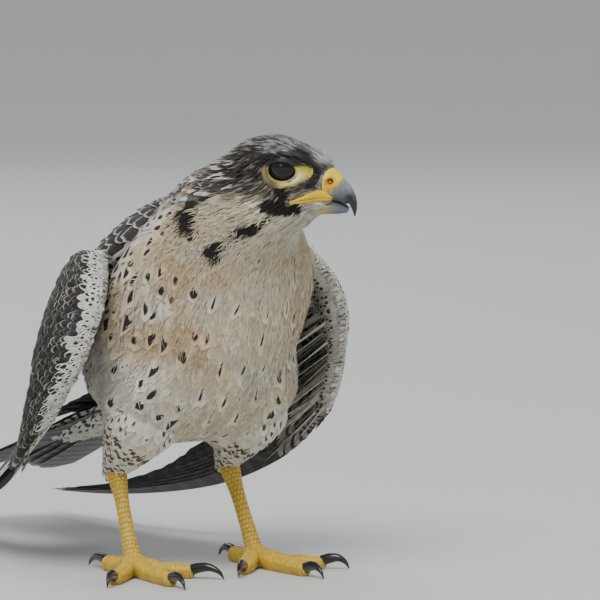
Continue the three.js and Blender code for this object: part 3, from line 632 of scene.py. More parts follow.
skin_material, tree, shader = surface("skin under the plumage", 0.75, Subsurface_Weight=0.1)
down = mixed(tree, ramp(tree, noise(tree, 700.0), 0.35, 0.7), attribute(tree, "ground").outputs[0],
             (0.32, 0.3, 0.27, 1))
tree.links.new(down, shader.inputs["Base Color"])
bumped(tree, shader, noise(tree, 1500.0), 0.0003)
skin_shape.data.materials.append(skin_material)
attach(skin_shape, "root")
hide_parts("torso", "neck", "head", "thigh_left", "thigh_right")

# The feathers of the head
# Small stiff feathers in close rows, each a thin closed blade rooted in the skin and lying back from
# the bill. They part round the eyes, the lids and the mouth.
FORM_BROW = np.array([[-17, 3.2], [-6, 6.6], [3, 6.6], [11, 3.8], [17, -0.4]])
BROW_HEIGHT, BROW_WIDTH = 3.4, 2.4
LID_CENTRE = (0.4, -2.0)  # of the opening, forward and up from the middle of the eye
LID_INNER = (6.7, 4.9)  # half length and half height of the eye's opening
LID_OUTER = {"back": 9.4, "front": 14.0, "up": 6.2, "under": 8.3}
ROW_SAMPLES = 160  # places at which the length of a row is measured


def on_brow(f, h):
    """A ridge that follows the brow's line and falls off to either side as a bell curve."""
    line = np.interp(f, FORM_BROW[:, 0], FORM_BROW[:, 1])
    ends = smooth(-24, -12, f) * (1 - smooth(14, 20, f))
    return BROW_HEIGHT * bell(h, line, BROW_WIDTH) * ends


def head_sheet(x, around, lift):
    """The trunk's rings, raised along the brow."""
    f, h, _ = head_measure(trunk(x, around, np.zeros_like(x)))
    return trunk(x, around, lift + on_brow(f, h))


def outside_lids(f, h, margin):
    """How far a place is outside the bare ring of the eye, in millimetres."""
    f, h = f - LID_CENTRE[0], h - LID_CENTRE[1]
    reach_f = np.where(f > 0, LID_OUTER["front"], LID_OUTER["back"])
    reach_h = np.where(h > 0, LID_OUTER["up"], LID_OUTER["under"])
    return (np.hypot(f / reach_f, h / reach_h) - 1) * np.minimum(reach_f, reach_h) - margin


def metric(at, a, b, step=1e-3):
    """Millimetres for one unit of each of a sheet's two measures."""
    level = np.zeros_like(a)
    by_a = (at(a + step, b, level) - at(a - step, b, level)) / (2 * step)
    by_b = (at(a, b + step, level) - at(a, b - step, level)) / (2 * step)
    return np.linalg.norm(by_a, axis=-1), np.linalg.norm(by_b, axis=-1)


def rows_of_roots(at, starts, spacing, fan=(0.0, 2 * np.pi), seed=0, first=0.0, loose=0.22):
    """Roots in rows across a sheet, one row at each start, spaced evenly along the row with every
    other row set over by half a space. A row begins at first, and each root is up to loose off its
    place, both in spaces."""
    rng = np.random.default_rng(seed)
    samples = np.linspace(*fan, ROW_SAMPLES)
    a_all, b_all = [], []
    for k, start in enumerate(starts):
        line = at(np.full(ROW_SAMPLES, start), samples, np.zeros(ROW_SAMPLES))
        run = np.concatenate([[0], np.cumsum(np.linalg.norm(np.diff(line, axis=0), axis=1))])
        count = max(3, int(run[-1] / spacing(start)))
        place = np.arange(count) + first + 0.5 * (k % 2) + rng.uniform(-loose, loose, count)
        b_all.append(np.interp(place / count * run[-1] % run[-1], run, samples))
        a_all.append(np.full(count, start))
    return np.concatenate(a_all), np.concatenate(b_all)


def row_starts(at, spacing, low, high, towards=-1):
    """Where rows start, so that each is one spacing from the last: from high down, or from low up."""
    starts = [high if towards < 0 else low]
    while low <= starts[-1] <= high:
        here = np.full(8, starts[-1])
        per_unit = metric(at, here, np.linspace(0, 2 * np.pi, 8, endpoint=False))[0].mean()
        starts.append(starts[-1] + towards * spacing(starts[-1]) / per_unit)
    return starts[:-1]


def blades(at, root, tip, width, low, high, rows=5, columns=5, fray=0.1, round_end=0.3, thick=0.3,
           cup=0.5, slim=0.0, tilt=0.0, limit=None, seed=1):
    """Closed thin blades on a sheet, many at once.

    s runs from 0 at the root to 1 at the tip and w across from -1 to 1. A column ends at
    1 - round_end * w^2, less a random notch of up to fray, so that the tip is round and ragged. Half
    the width grows from 0.55 of itself at the root, and slim of it is lost again by the tip. The lift
    goes from low to high, less cup * w^2, and turns over by tilt for each unit across. Two faces part
    by thick * (1 - w^2) in the middle and meet at the rim."""
    rng = np.random.default_rng(seed)
    n = len(root)
    s = np.linspace(0, 1, rows)[None, :, None]
    w = np.linspace(-1, 1, columns)[None, None, :]
    notch = fray * rng.random((n, 1, columns))
    run = s * (1 - round_end * np.abs(w) ** 2.2 - notch)
    a0, b0, a1, b1 = (v[:, None, None] for v in (root[:, 0], root[:, 1], tip[:, 0], tip[:, 1]))
    a, b = a0 + (a1 - a0) * run, b0 + (b1 - b0) * run
    by_a, by_b = metric(at, a, b)
    course_a, course_b = (a1 - a0) * by_a, (b1 - b0) * by_b
    length = np.hypot(course_a, course_b)
    half = width[:, None, None] / 2 * np.clip(0.55 + 1.6 * run, 0, 1) * (1 - slim * run**2)
    offset = w * half
    a = a - course_b / length * offset / by_a
    across = course_a / length * offset / by_b
    if limit is not None:
        across = np.minimum(across, limit[:, None, None] - b)
    lift = blend(low[:, None, None], high[:, None, None], run**0.8) - cup * w**2 + tilt * across
    body = thick / 2 * (1 - w**2) * np.minimum(1, 6 * s * (1 - s))
    top = at(a, b + across, lift + body)
    under = at(a, b + across, lift - body)[:, 1:-1, 1:-1]
    grid = np.arange(rows * columns).reshape(rows, columns)
    below = grid.copy()
    below[1:-1, 1:-1] = rows * columns + np.arange((rows - 2) * (columns - 2)).reshape(rows - 2, -1)
    up = np.stack([grid[:-1, :-1], grid[:-1, 1:], grid[1:, 1:], grid[1:, :-1]], -1).reshape(-1, 4)
    down = np.stack([below[:-1, :-1], below[1:, :-1], below[1:, 1:], below[:-1, 1:]], -1).reshape(-1, 4)
    both = lambda v: np.concatenate([v.reshape(n, -1), v[:, 1:-1, 1:-1].reshape(n, -1)], 1)
    points = np.concatenate([top.reshape(n, -1, 3), under.reshape(n, -1, 3)], 1)
    one = np.concatenate([up, down])
    middle = (rows // 2) * columns + columns // 2
    outward = (top - at(a, b + across, lift - body - 1.0)).reshape(n, -1, 3)[:, middle]
    corner, beside, _, beyond = (points[:, i] for i in one[0])
    if np.einsum("ij,ij->i", np.cross(beside - corner, beyond - corner), outward).sum() < 0:
        one = one[:, ::-1]
    faces = (one[None] + (np.arange(n) * points.shape[1])[:, None, None]).reshape(-1, 4)
    return {"points": points, "faces": faces, "w": both(np.broadcast_to(w, a.shape)),
            "s": both(np.broadcast_to(s, a.shape))}


def with_share(colour, share=1.0):
    """Rows of colours with a fourth number each: how far in from its rim a blade has its fringe, or 1."""
    return np.concatenate([colour, np.broadcast_to(share, (len(colour), 1))], 1)


def marks_of(n, streak=0.0, spot=0.0, bars=0.0):
    """The marks of n blades: half the width of the streak, the size of the spot, and how many bars."""
    return np.stack([np.broadcast_to(mark, n) for mark in (streak, spot, bars)], -1)


def round_map(along, around):
    """Places on the unwrapped skin of a limb: round it as 0 to 1, and along it."""
    return np.stack([around / (2 * np.pi) % 1, np.clip(along, 0, 1)], -1)


PATCH = 0.0015  # half the width of a blade's patch on the map
FULL_TURN = 6.2832  # radians from one bar to the next
SHARP = np.radians(50)  # faces that meet at more keep a crisp edge, as a blade's rim does


def feather_piece(name, made, unwrap, ground, edge, figure, marks, material):
    """One mesh of many blades. Each blade has a patch of the map OFBake at its root's place on the
    unwrapped skin, its own ground and edge, and its marks: streak, spot and bars, in the colour of
    the figure."""
    n, each = made["w"].shape
    uv = unwrap[:, None, :] * 0.99 + 0.005 + PATCH * np.stack([made["w"], 2 * made["s"] - 1], -1)
    seed = np.random.default_rng(len(name) + n).random(n)
    vane = np.stack([made["w"], made["s"], np.repeat(seed[:, None], each, 1)], -1)
    figure = with_share(np.broadcast_to(figure, (n, 3)))
    looks = {"ground": with_share(ground), "edge": edge, "figure": figure, "marks": marks}
    looks = {key: np.repeat(value, each, 0) for key, value in looks.items()}
    looks["vane"] = vane.reshape(-1, 3)
    points = made["points"].reshape(-1, 3)
    piece = mesh_piece(name, points, [made["faces"]], material, uv.reshape(-1, 2), looks)
    piece.data.set_sharp_from_angle(angle=SHARP)
    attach(piece, "root")
    return piece


def plumage(name, roughness, barbs, barb_bump, mottle=0.12, shaft=0.0, sheen=0.12):
    """A feather's finish from its blade's own marks: a pale fringe at the rim, a streak down the
    shaft, a round spot before the tip, bars across, and fine barbs slanting out from the shaft."""
    material, tree, shader = surface(name, roughness, Sheen_Weight=sheen, Sheen_Roughness=0.5,
                                     Specular_IOR_Level=0.25)
    step = lambda *given: sum_of(tree, *given)
    product = lambda a, b: sum_of(tree, "MULTIPLY", a, b)
    vane = node(tree, "SeparateXYZ", {0: attribute(tree, "vane").outputs["Vector"]})
    marks = node(tree, "SeparateXYZ", {0: attribute(tree, "marks").outputs["Vector"]})
    w, s, seed = vane.outputs
    streak, spot, bars = marks.outputs
    side = step("ABSOLUTE", w)
    edge = attribute(tree, "edge")
    rim = step("MAXIMUM", side, s)
    wobble = step("MULTIPLY_ADD", noise(tree, 900.0), 0.12, step("ADD", rim, -0.06))
    start = step("SUBTRACT", 1.0, edge.outputs["Alpha"])
    fringe = ramp(tree, step("SUBTRACT", wobble, start), 0.0, 0.08)
    colour = mixed(tree, fringe, attribute(tree, "ground").outputs["Color"], edge.outputs["Color"])
    taper = product(streak, ramp(tree, s, 0.35, 0.85, 0.35, 1.0))
    streak_w = ramp(tree, step("SUBTRACT", side, taper), -0.05, 0.03, 1.0, 0.0)
    window = product(ramp(tree, s, 0.35, 0.6), ramp(tree, s, 0.82, 0.93, 1.0, 0.0))
    streak_on = product(product(streak_w, window), ramp(tree, streak, 0.01, 0.03))
    off_middle = product(step("SUBTRACT", s, 0.76), 2.3)
    away = step("SQRT", step("ADD", step("POWER", side, 2.0), product(off_middle, off_middle)))
    spot_on = ramp(tree, step("SUBTRACT", away, spot), -0.12, 0.02, 1.0, 0.0)
    spot_on = product(spot_on, ramp(tree, spot, 0.02, 0.05))
    bow = step("MULTIPLY_ADD", product(side, side), -0.06, s)
    wave = step("SINE", step("MULTIPLY_ADD", bow, product(bars, FULL_TURN), seed))
    bar_on = product(ramp(tree, wave, 0.1, 0.45), ramp(tree, bars, 0.4, 0.8))
    on = step("MAXIMUM", step("MAXIMUM", streak_on, spot_on), bar_on)
    colour = mixed(tree, on, colour, attribute(tree, "figure").outputs["Color"])
    if shaft:
        quill = product(ramp(tree, side, 0.02, 0.05, 1.0, 0.0), shaft)
        colour = mixed(tree, quill, colour, (0.02, 0.017, 0.014, 1))
    barb = step("SINE", product(step("MULTIPLY_ADD", side, -0.35, s), barbs))
    shade = step("MULTIPLY_ADD", ramp(tree, noise(tree, 260.0), 0.3, 0.7), 2 * mottle, 1 - mottle)
    shade = product(shade, step("MULTIPLY_ADD", barb, 0.05, 1.0))
    grey = node(tree, "CombineColor", {0: shade, 1: shade, 2: shade}).outputs[0]
    tree.links.new(mixed(tree, 1.0, colour, grey, "MULTIPLY"), shader.inputs["Base Color"])
    bumped(tree, shader, step("MULTIPLY_ADD", barb, 0.5, 0.5), barb_bump)
    return material


# Spacing, length and width of the feathers of the trunk, neck and head, in millimetres, by place
SIZE_AT = [0, 0.15, 0.3, 0.42, 0.48, 0.54, 0.6, 0.68, 0.85, 1.0]
SPACING = [7.5, 7.5, 7.0, 6.5, 5.0, 3.4, 2.2, 1.45, 1.15, 0.9]
LENGTH = [26, 27, 26, 23, 17, 10.5, 7.4, 5.8, 4.8, 2.8]
WIDTH = [15, 16, 16, 14, 9.5, 5.2, 2.8, 1.75, 1.4, 1.0]


def trunk_spacing(x):
    """The space between rows at a place along the trunk, neck and head."""
    return np.interp(x, SIZE_AT, SPACING)


def lying_back(at, x, around, length, sway=0.12, seed=2):
    """Tips of feathers that lie back along the trunk, each swayed a little to one side."""
    rng = np.random.default_rng(seed)
    by_x, by_around = metric(at, x, around)
    turn = rng.normal(0, sway, len(x))
    step_x, step_around = length * np.cos(turn) / by_x, length * np.sin(turn) / by_around
    limit = 3.0 * length / by_x.mean()
    return np.stack([x - np.minimum(step_x, limit), around + step_around], -1)


def mouth_distance(f, h):
    """Distance in the side view from the yellow edge of the mouth."""
    line = np.array([[26, -16.5], [18.5, -16.0], [11.5, -16.8], [5.0, -18.6]])
    best = np.full(f.shape, 99.0)
    for p, q in zip(line[:-1], line[1:]):
        k = np.clip(((f - p[0]) * (q - p)[0] + (h - p[1]) * (q - p)[1]) / ((q - p) ** 2).sum(), 0, 1)
        best = np.minimum(best, np.hypot(f - p[0] - k * (q - p)[0], h - p[1] - k * (q - p)[1]))
    return best


def cere_edge(h):
    """How far forward the feathers reach at each height, beside and above the cere."""
    return np.interp(h, [-26, -16, -10, -4, 0], [23, 18, 17.4, 19.2, 23])


HEAD_FROM, NECK_FROM = 0.575, 0.455
starts = row_starts(head_sheet, trunk_spacing, HEAD_FROM, 0.992)
head_x, head_round = rows_of_roots(head_sheet, starts, lambda x: trunk_spacing(x) * 0.95, seed=11)
head_long = np.interp(head_x, SIZE_AT, LENGTH)
head_tips = lying_back(head_sheet, head_x, head_round, head_long)
nil = np.zeros(len(head_x))
f0, h0, out0 = head_measure(head_sheet(head_x, head_round, nil))
f1, h1, _ = head_measure(head_sheet(head_tips[:, 0], head_tips[:, 1], nil))
clear = (outside_lids(f0, h0, 0.2) > 0) & (outside_lids(f1, h1, -0.4) > 0)
clear &= (outside_lids((f0 + f1) / 2, (h0 + h1) / 2, -0.2) > 0) & (mouth_distance(f0, h0) > 2.0)
clear &= (mouth_distance(f1, h1) > 1.6) & ~((f0 > cere_edge(h0)) & (np.abs(out0) < 12))
head_x, head_round, head_long, head_tips = (v[clear] for v in (head_x, head_round, head_long, head_tips))
f0, h0, f1, h1 = (v[clear] for v in (f0, h0, f1, h1))
rng = np.random.default_rng(5)
draw = rng.random(len(head_x))
depth = coat_depth(head_x)
swell = 1.8 * bell(f0, -27, 13) * smooth(-8, 6, h0)
head_made = blades(
    head_sheet,
    np.stack([head_x, head_round], -1),
    head_tips,
    np.interp(head_x, SIZE_AT, WIDTH) * rng.uniform(0.85, 1.2, len(head_x)),
    -depth * 1.2,
    rng.uniform(-0.25, 0.35, len(head_x)) + swell,
    rows=5, columns=4, fray=0.25, round_end=0.45, thick=0.2, cup=0.2, slim=0.6, seed=12,
)
ground = head_ground(blend(f0, f1, 0.72), blend(h0, h1, 0.72), draw)
pale = ground.mean(1) > 0.25
streak = np.where(pale & (f1 < -6) & (rng.random(len(draw)) > 0.4), 0.17, 0.0)
small_plumage = plumage("small feathers of the head", 0.7, 40.0, 0.00004)
feather_piece(
    "coat_head", head_made, round_map(head_x, head_round), ground, with_share(ground * 1.15, 0.12),
    BLACK_BROWN, marks_of(len(draw), streak), small_plumage,
)

# The feathers of the neck, breast, belly and back
# Soft contour feathers in rows from the throat to the tail, larger down the body. Those of the breast
# carry a dark streak on the shaft, those of the flank a round spot, and those of the belly bars.


CLOSE = 0.78  # how much closer the rows lie than on the head
FLUFF = 0.65  # how far the flank's feathers stand off, as a share of its swell


def every(rows_apart, x):
    """Chooses feathers that lie in a staggered net, one in rows_apart both along and across."""
    _, first, row = np.unique(x, return_index=True, return_inverse=True)
    place = np.arange(len(x)) - first[row]
    return (row % rows_apart == 0) & ((place + row // rows_apart) % rows_apart == 0)


def contour(name, low, high, columns, seed, keep=None):
    """The coat of the trunk between two places along it. keep chooses feathers by how far up the back
    they sit, which is 1 on the back's line and -1 on the belly's. Gives the places of their marks."""
    gap = lambda x: trunk_spacing(x) * CLOSE
    starts = row_starts(trunk, gap, low, high)
    x, around = rows_of_roots(body_sheet, starts, gap, seed=seed)
    if keep:
        chosen = keep(np.sin(around))
        x, around = x[chosen], around[chosen]
    rng = np.random.default_rng(seed + 1)
    n = len(x)
    draw, spare, lot = rng.random((3, n))
    long = np.interp(x, SIZE_AT, LENGTH) * rng.uniform(0.9, 1.15, n)
    tips = lying_back(body_sheet, x, around, long, 0.1, seed + 2)
    up = np.sin(tips[:, 1])
    shown = blend(np.stack([x, around], -1), tips, 0.75)
    places = body_sheet(shown[:, 0], shown[:, 1], np.zeros(n))
    f, h, _ = head_measure(places)
    body, mantle = body_ground(x, up, draw, spare, stain(places, STAIN_SIZE))
    ground = pick(smooth(0.44, 0.54, x), head_ground(f, h, draw), body)
    patch = dark_marks(f, h) > 0.3 + 0.4 * draw
    ground = pick(patch, MARKS_AND_BROW_SHADOW, ground)
    dark = ground.mean(1) < 0.13
    edge = np.where((mantle > 0.5)[:, None], FRINGE * (0.7 + 0.5 * spare[:, None]), ground * 1.06)
    edge = with_share(edge, np.where(dark, 0.11, 0.08)[:, None])
    side = np.abs(np.cos(tips[:, 1]))
    spotted = (smooth(0.47, 0.4, x) * smooth(0.42, 0.62, side) > 0.5) | (x < 0.2)
    streak = np.where(every(3, x) & (lot > 0.1) & ~spotted & ~dark, rng.uniform(0.09, 0.14, n), 0)
    streak = np.where(x > 0.5, np.where((lot > 0.6) & ~dark, 0.13, 0), streak)
    blotch = (up > -0.1) & (x > 0.3) & (x < 0.5) & (lot > 0.55) & ~dark
    spot = np.where(every(2, x) & (lot > 0.15) & spotted & ~dark, rng.uniform(0.3, 0.4, n), 0)
    spot = np.where(blotch, rng.uniform(0.25, 0.4, n), spot)
    bars = np.where((x < 0.12) & ~dark, 3.0, 0.0)
    on_top = ((streak + spot > 0) & (x < 0.5)) | (patch & (x < 0.575))
    made = blades(
        body_sheet,
        np.stack([x, around], -1),
        tips,
        np.interp(x, SIZE_AT, WIDTH) * rng.uniform(0.9, 1.2, n),
        np.where(on_top, -2.1, -coat_depth(x) * 1.1),
        rng.uniform(-0.2, 0.15, n) + FLUFF * flank(x, around) + 0.25 * on_top,
        rows=columns, columns=columns, fray=0.24, round_end=0.48, thick=0.12, cup=0.4, slim=0.3,
        seed=seed + 3,
    )
    feather_piece(
        name, made, round_map(x, around), ground, edge, BLACK_BROWN * 0.7,
        marks_of(n, streak * (spot == 0), spot, bars), soft_plumage,
    )
    return places[(spot + streak * (x < 0.5) > 0)]


soft_plumage = plumage("soft feathers of the breast", 0.75, 110.0, 0.00006)
contour("coat_neck", NECK_FROM, HEAD_FROM, 6, 20)
marked_places = contour("coat_breast", 0.0, NECK_FROM, 7, 30, keep=lambda up: up < 0.25)
contour("coat_back", 0.0, NECK_FROM, 7, 40, keep=lambda up: up >= 0.25)

# The down over the breast
# Single loose barbs that stand a little off the soft feathers and blur their edges.


def wisps(name, at, a, b, colour, material, long, seed):
    """Narrow tapering blades, one for each place, swayed to both sides."""
    n = len(a)
    rng = np.random.default_rng(seed)
    by_a, by_b = metric(at, a, b)
    sway = rng.normal(0, 0.35, n)
    reach = long * rng.uniform(0.7, 1.3, n)
    ends = np.stack([a + reach * np.cos(sway) / by_a, b + np.abs(reach) * np.sin(sway) / by_b], -1)
    low = FLUFF * flank(a, b)
    made = blades(at, np.stack([a, b], -1), ends, rng.uniform(0.35, 0.8, n), low - 0.6,
                  low + rng.uniform(0.1, 0.7, n), rows=4, columns=3, fray=0.0, round_end=0.0, thick=0.12,
                  cup=0.05, slim=0.9, seed=seed + 1)
    feather_piece(name, made, round_map(a, b), colour, with_share(colour, 0.02), colour, marks_of(n),
                  material)


BARBS = 12000
rng = np.random.default_rng(90)
barb_x = rng.uniform(0.06, 0.56, BARBS)
barb_round = rng.uniform(np.pi * 0.95, np.pi * 2.05, BARBS)
barb_long = np.interp(barb_x, [0, 0.42, 0.56], [8, 7, 5])
places = body_sheet(barb_x, barb_round, np.zeros(BARBS))
barb_ends = body_sheet(barb_x - barb_long / metric(body_sheet, barb_x, barb_round)[0], barb_round,
                       np.zeros(BARBS))
free = np.ones(BARBS, bool)
for mark in marked_places:
    way = barb_ends - places
    k = np.clip(((mark - places) * way).sum(1) / (way * way).sum(1), 0, 1)[:, None]
    free &= np.linalg.norm(places + way * k - mark, axis=1) > 2.4
barb_x, barb_round, barb_long, places = (v[free] for v in (barb_x, barb_round, barb_long, places))
barb_f, barb_h, _ = head_measure(places)
barb_draw, barb_spare = rng.random((2, len(barb_x)))
barb_colour, _ = body_ground(barb_x, np.sin(barb_round), barb_draw, barb_spare, stain(places, STAIN_SIZE))
barb_colour = pick(smooth(0.44, 0.54, barb_x), head_ground(barb_f, barb_h, barb_draw), barb_colour)
barb_colour = pick(dark_marks(barb_f, barb_h) > 0.5, MARKS_AND_BROW_SHADOW, barb_colour)
half = len(barb_x) // 2
for part, name in ((slice(0, half), "down_breast_1"), (slice(half, None), "down_breast_2")):
    wisps(name, body_sheet, barb_x[part], barb_round[part], barb_colour[part] * 1.03, soft_plumage,
          -barb_long[part], 91)

# The loose barbs of the head
# One fine barb stands over each small feather of the head, lighter or darker than it, which gives the
# cap and the cheeks their fine streaks.
rng = np.random.default_rng(95)
over = blend(np.stack([head_x, head_round], -1), head_tips, 0.35)
over_ends = blend(over, head_tips, 1.05) + rng.normal(0, 0.012, (len(over), 2)) * (0, 1)
over_shade = rng.choice([0.45, 0.8, 1.25, 1.9], len(over))[:, None]
over_made = blades(
    head_sheet, over, over_ends, rng.uniform(0.25, 0.5, len(over)), np.full(len(over), -0.3),
    rng.uniform(0.15, 0.45, len(over)) + swell,
    rows=4, columns=3, fray=0.0, round_end=0.0, thick=0.1, cup=0.03, slim=0.9, seed=96,
)
over_colour = np.minimum(ground * over_shade, 0.75)
feather_piece("streaks_head", over_made, round_map(*over.T), over_colour, with_share(over_colour, 0.02),
              over_colour, marks_of(len(over)), small_plumage)

# The feathers of the shoulders
# The mantle and scapulars: broad dark feathers with pale fringes, which lie back over the root of the
# wing and narrow to a point beside the rump.
SIDES = ((1, "left"), (-1, "right"))
SHOULDER_SIZE = {"at": [0, 0.2, 0.5, 0.8, 1], "gap": [5, 7, 8.5, 9, 9], "long": [13, 18, 24, 28, 26],
                 "wide": [8, 11, 14, 15, 12]}
firm_plumage = plumage("firm feathers of back and wing", 0.62, 90.0, 0.00008, mottle=0.2, shaft=0.6,
                        sheen=0.02)


def limb_coat(name, at, size, low, high, fan, seed, colours, material, depth, stand=0.4):
    """The coat of a limb from one end to the other, its feathers lying along it."""
    gap = lambda a: np.interp(a, size["at"], size["gap"])
    starts = row_starts(at, gap, low, high, towards=1)
    a, b = rows_of_roots(at, starts, gap, fan, seed)
    rng = np.random.default_rng(seed)
    n = len(a)
    long = np.interp(a, size["at"], size["long"]) * rng.uniform(0.9, 1.15, n)
    by_a, by_b = metric(at, a, b)
    sway = rng.normal(0, 0.08, n)
    tips = np.stack([a + long * np.cos(sway) / by_a, b + long * np.sin(sway) / by_b], -1)
    made = blades(
        at,
        np.stack([a, b], -1),
        tips,
        np.interp(a, size["at"], size["wide"]) * rng.uniform(0.9, 1.15, n),
        -np.interp(a, [0.05, 0.4], depth),
        rng.uniform(0, stand, n) + 0.2,
        rows=7, columns=7, fray=0.12, round_end=0.4, thick=0.32, cup=0.6, slim=0.15, seed=seed + 1,
    )
    ground, edge, figure, marks = colours(a, b, at(tips[:, 0], tips[:, 1], np.zeros(n)), rng)
    feather_piece(name, made, round_map(a, b), ground, edge, figure, marks, material)


def mantle_colours(side):
    """The colours of one shoulder, whose outward way is its own."""

    def colours(a, b, tips, rng):
        """Dark slate to black-brown with pale fringes; whitish with dark blotches low on the breast's
        side of the shoulder."""
        n = len(a)
        outward = np.cos(b) * side
        under = smooth(-0.05, -0.35, np.sin(b)) * smooth(0.0, 0.4, outward)
        draw = rng.random(n)
        dark = blend(INK * 1.2, SLATE * 0.7, draw[:, None] ** 1.3)
        ground = pick(under > 0.5, WHITE * (0.75 + 0.15 * draw[:, None]), dark)
        edge = with_share(FRINGE * (0.7 + 0.5 * draw[:, None]), 0.13)
        spot = np.where((under > 0.5) & (draw > 0.4), 0.35, 0.0)
        return ground, edge, BLACK_BROWN * 0.8, marks_of(n, spot=spot)

    return colours


for side, name in SIDES:
    limb_coat("coat_shoulder_" + name, shoulder(side), SHOULDER_SIZE, -0.02, 0.9, (0, 2 * np.pi), 50,
              mantle_colours(side), firm_plumage, (3.2, 3.2))

# The feathers of the thighs
# Long loose trousers, whitish with dark bars, which hang over the tarsus.
THIGH_SIZE = {"at": [0, 0.5, 1], "gap": [5, 4.2, 3.4], "long": [22, 21, 15], "wide": [10, 8, 5.5]}


def thigh_colours(a, b, tips, rng):
    """Like the flank above, with round spots, and whitish buff with dark bars below."""
    n = len(a)
    draw = rng.random(n)
    low = smooth(0.1, 0.4, a + 0.15 * (draw - 0.5))
    level = np.full(n, -0.5)
    flank_colour, _ = body_ground(np.full(n, 0.24), level, draw, draw, stain(tips, STAIN_SIZE))
    ground = pick(low, blend(WHITE * 0.8, CREAM * 0.8, draw[:, None]), flank_colour)
    edge = with_share(ground * 1.06, 0.1)
    bars = np.where((draw > 0.2) & (low > 0.5), rng.uniform(2.4, 3.4, n), 0.0)
    spot = np.where((draw > 0.45) & (low <= 0.5), rng.uniform(0.2, 0.3, n), 0.0)
    return ground, edge, paint("4a423a"), marks_of(n, spot=spot, bars=bars)


for side, name in SIDES:
    limb_coat("coat_thigh_" + name, thigh(side), THIGH_SIZE, 0.02, 0.93, (0, 2 * np.pi), 60,
              thigh_colours, soft_plumage, (8.0, 3.0), stand=0.1)

# The wings
# Each drooped wing is a curved sheet: stiff flight feathers that leave the flesh at its rear, and over
# them the coverts, which are small dark scales with pale fringes, white with black spots at the rim.
RIM_REACH = 0.42  # how far along the sheet the flesh reaches, for the turn of the coat round its rim
WRIST = (0.45, 0.7)  # where down the wing the arm passes into the hand
LAYER = 0.92  # millimetres that each flight feather lies above the next
SECONDARIES = {"count": 11, "down": (0.10, 0.51), "root": 0.34, "tip": (0.5, 0.61), "width": 21}
PRIMARIES = {"count": 10, "down": (0.672, 0.965), "root": 0.34, "width": 17,
             "tips": [0.64, 0.67, 0.7, 0.74, 0.785, 0.83, 0.875, 0.905, 0.931, 0.92]}


def wing_flesh(along, down):
    """Half the thickness of the whole wing's flesh: round at the front, thinner to the rear and
    toward the hand, and running on flat behind."""
    thick, reach = (blend(FLESH["arm"][key], FLESH["hand"][key], smooth(*WRIST, down))
                    for key in ("thick", "along"))
    x = np.clip(along / reach, 0, 1)
    rear = blend(thick, FLESH_REAR, np.clip((x - RIM) / (1 - RIM), 0, 1) ** 0.75)
    ends = np.sqrt(1 - np.minimum(1, np.abs(2 * down - 1)) ** 10)
    return np.maximum(0.35, rear * np.sqrt(1 - (1 - np.minimum(1, x / RIM)) ** 2) * ends)


def wing_coat_sheet(side):
    """at(turned, down, lift): a sheet wrapped round the front rim, the outer face where turned is above
    0 and the inner face where it is below. Near the rim, turned runs round it as an angle does."""
    sheet = wing(side)
    round_reach = RIM * RIM_REACH

    def at(turned, down, lift):
        turned, down, lift = np.broadcast_arrays(turned, down, lift)
        k = np.minimum(1, np.abs(turned) / round_reach)
        along = round_reach * (1 - np.cos(k * np.pi / 2)) + np.maximum(0, np.abs(turned) - round_reach)
        face = np.where(turned < 0, -1, 1)
        sink = FLESH["hand"]["lift"] * smooth(*WRIST, down)
        half = wing_flesh(along, down)
        ahead = (1 - smooth(0, 0.5, k)) * np.maximum(lift, 0)
        by = metric(sheet, along, down)[0]
        return sheet(along - ahead / by, down, sink + face * (half + lift))

    return at


def flight_feathers(name, side, kind, seed):
    """Long vanes that leave the flesh together, each laid over the next one out."""
    n = kind["count"]
    place = np.linspace(0, 1, n)
    down = blend(*kind["down"], place)
    if "tips" in kind:
        tip_along, tip_down = np.array(kind["tips"]), blend(down, 0.9, 0.12)
        sink = FLESH["hand"]["lift"]
    else:
        tip_along, tip_down = blend(*kind["tip"], smooth(0, 0.6, place)), down
        sink = 0.0
    rng = np.random.default_rng(seed)
    tip_along = tip_along + rng.uniform(-0.004, 0.004, n)
    made = blades(
        wing(side),
        np.stack([np.full(n, kind["root"]), down], -1),
        np.stack([tip_along, tip_down], -1),
        np.full(n, kind["width"]) * rng.uniform(0.97, 1.03, n),
        np.full(n, sink),
        np.full(n, sink),
        rows=44, columns=13, fray=0.006, round_end=0.1, thick=0.45, cup=0.1, slim=0.35,
        tilt=LAYER / ((kind["down"][1] - kind["down"][0]) / (n - 1)),
        limit=0.999 - 0.003 * (n - 1 - np.arange(n)),
        seed=seed,
    )
    dark = blend(BLACK_BROWN, SLATE, rng.uniform(0.2, 0.7, (n, 1)))
    edge = with_share(np.broadcast_to(FRINGE, dark.shape), 0.035)
    return feather_piece(name, made, np.stack([place * 0.9 + 0.05, np.full(n, 0.9)], -1), dark, edge,
                         dark * 1.75, marks_of(n, bars=13.0), quill_plumage)


# Where the rows of coverts start on each face, and how close, long and wide their feathers are there,
# in millimetres
OUTER_ROWS = [*np.arange(-0.032, 0.15, 0.0102), 0.163, 0.182, 0.207, 0.24]
INNER_ROWS = [0.02, 0.028, 0.035, 0.049, 0.065, 0.083, 0.104, 0.13, 0.165, 0.205]
COVERT_SIZE = {"at": [0, 0.13, 0.17, 0.24], "long": [7.5, 9.5, 18, 44], "wide": [4.6, 6.4, 11.0, 16],
               "gap at": [0, 0.14, 0.17, 0.24], "gap": [3.4, 4.6, 7.5, 11.0]}


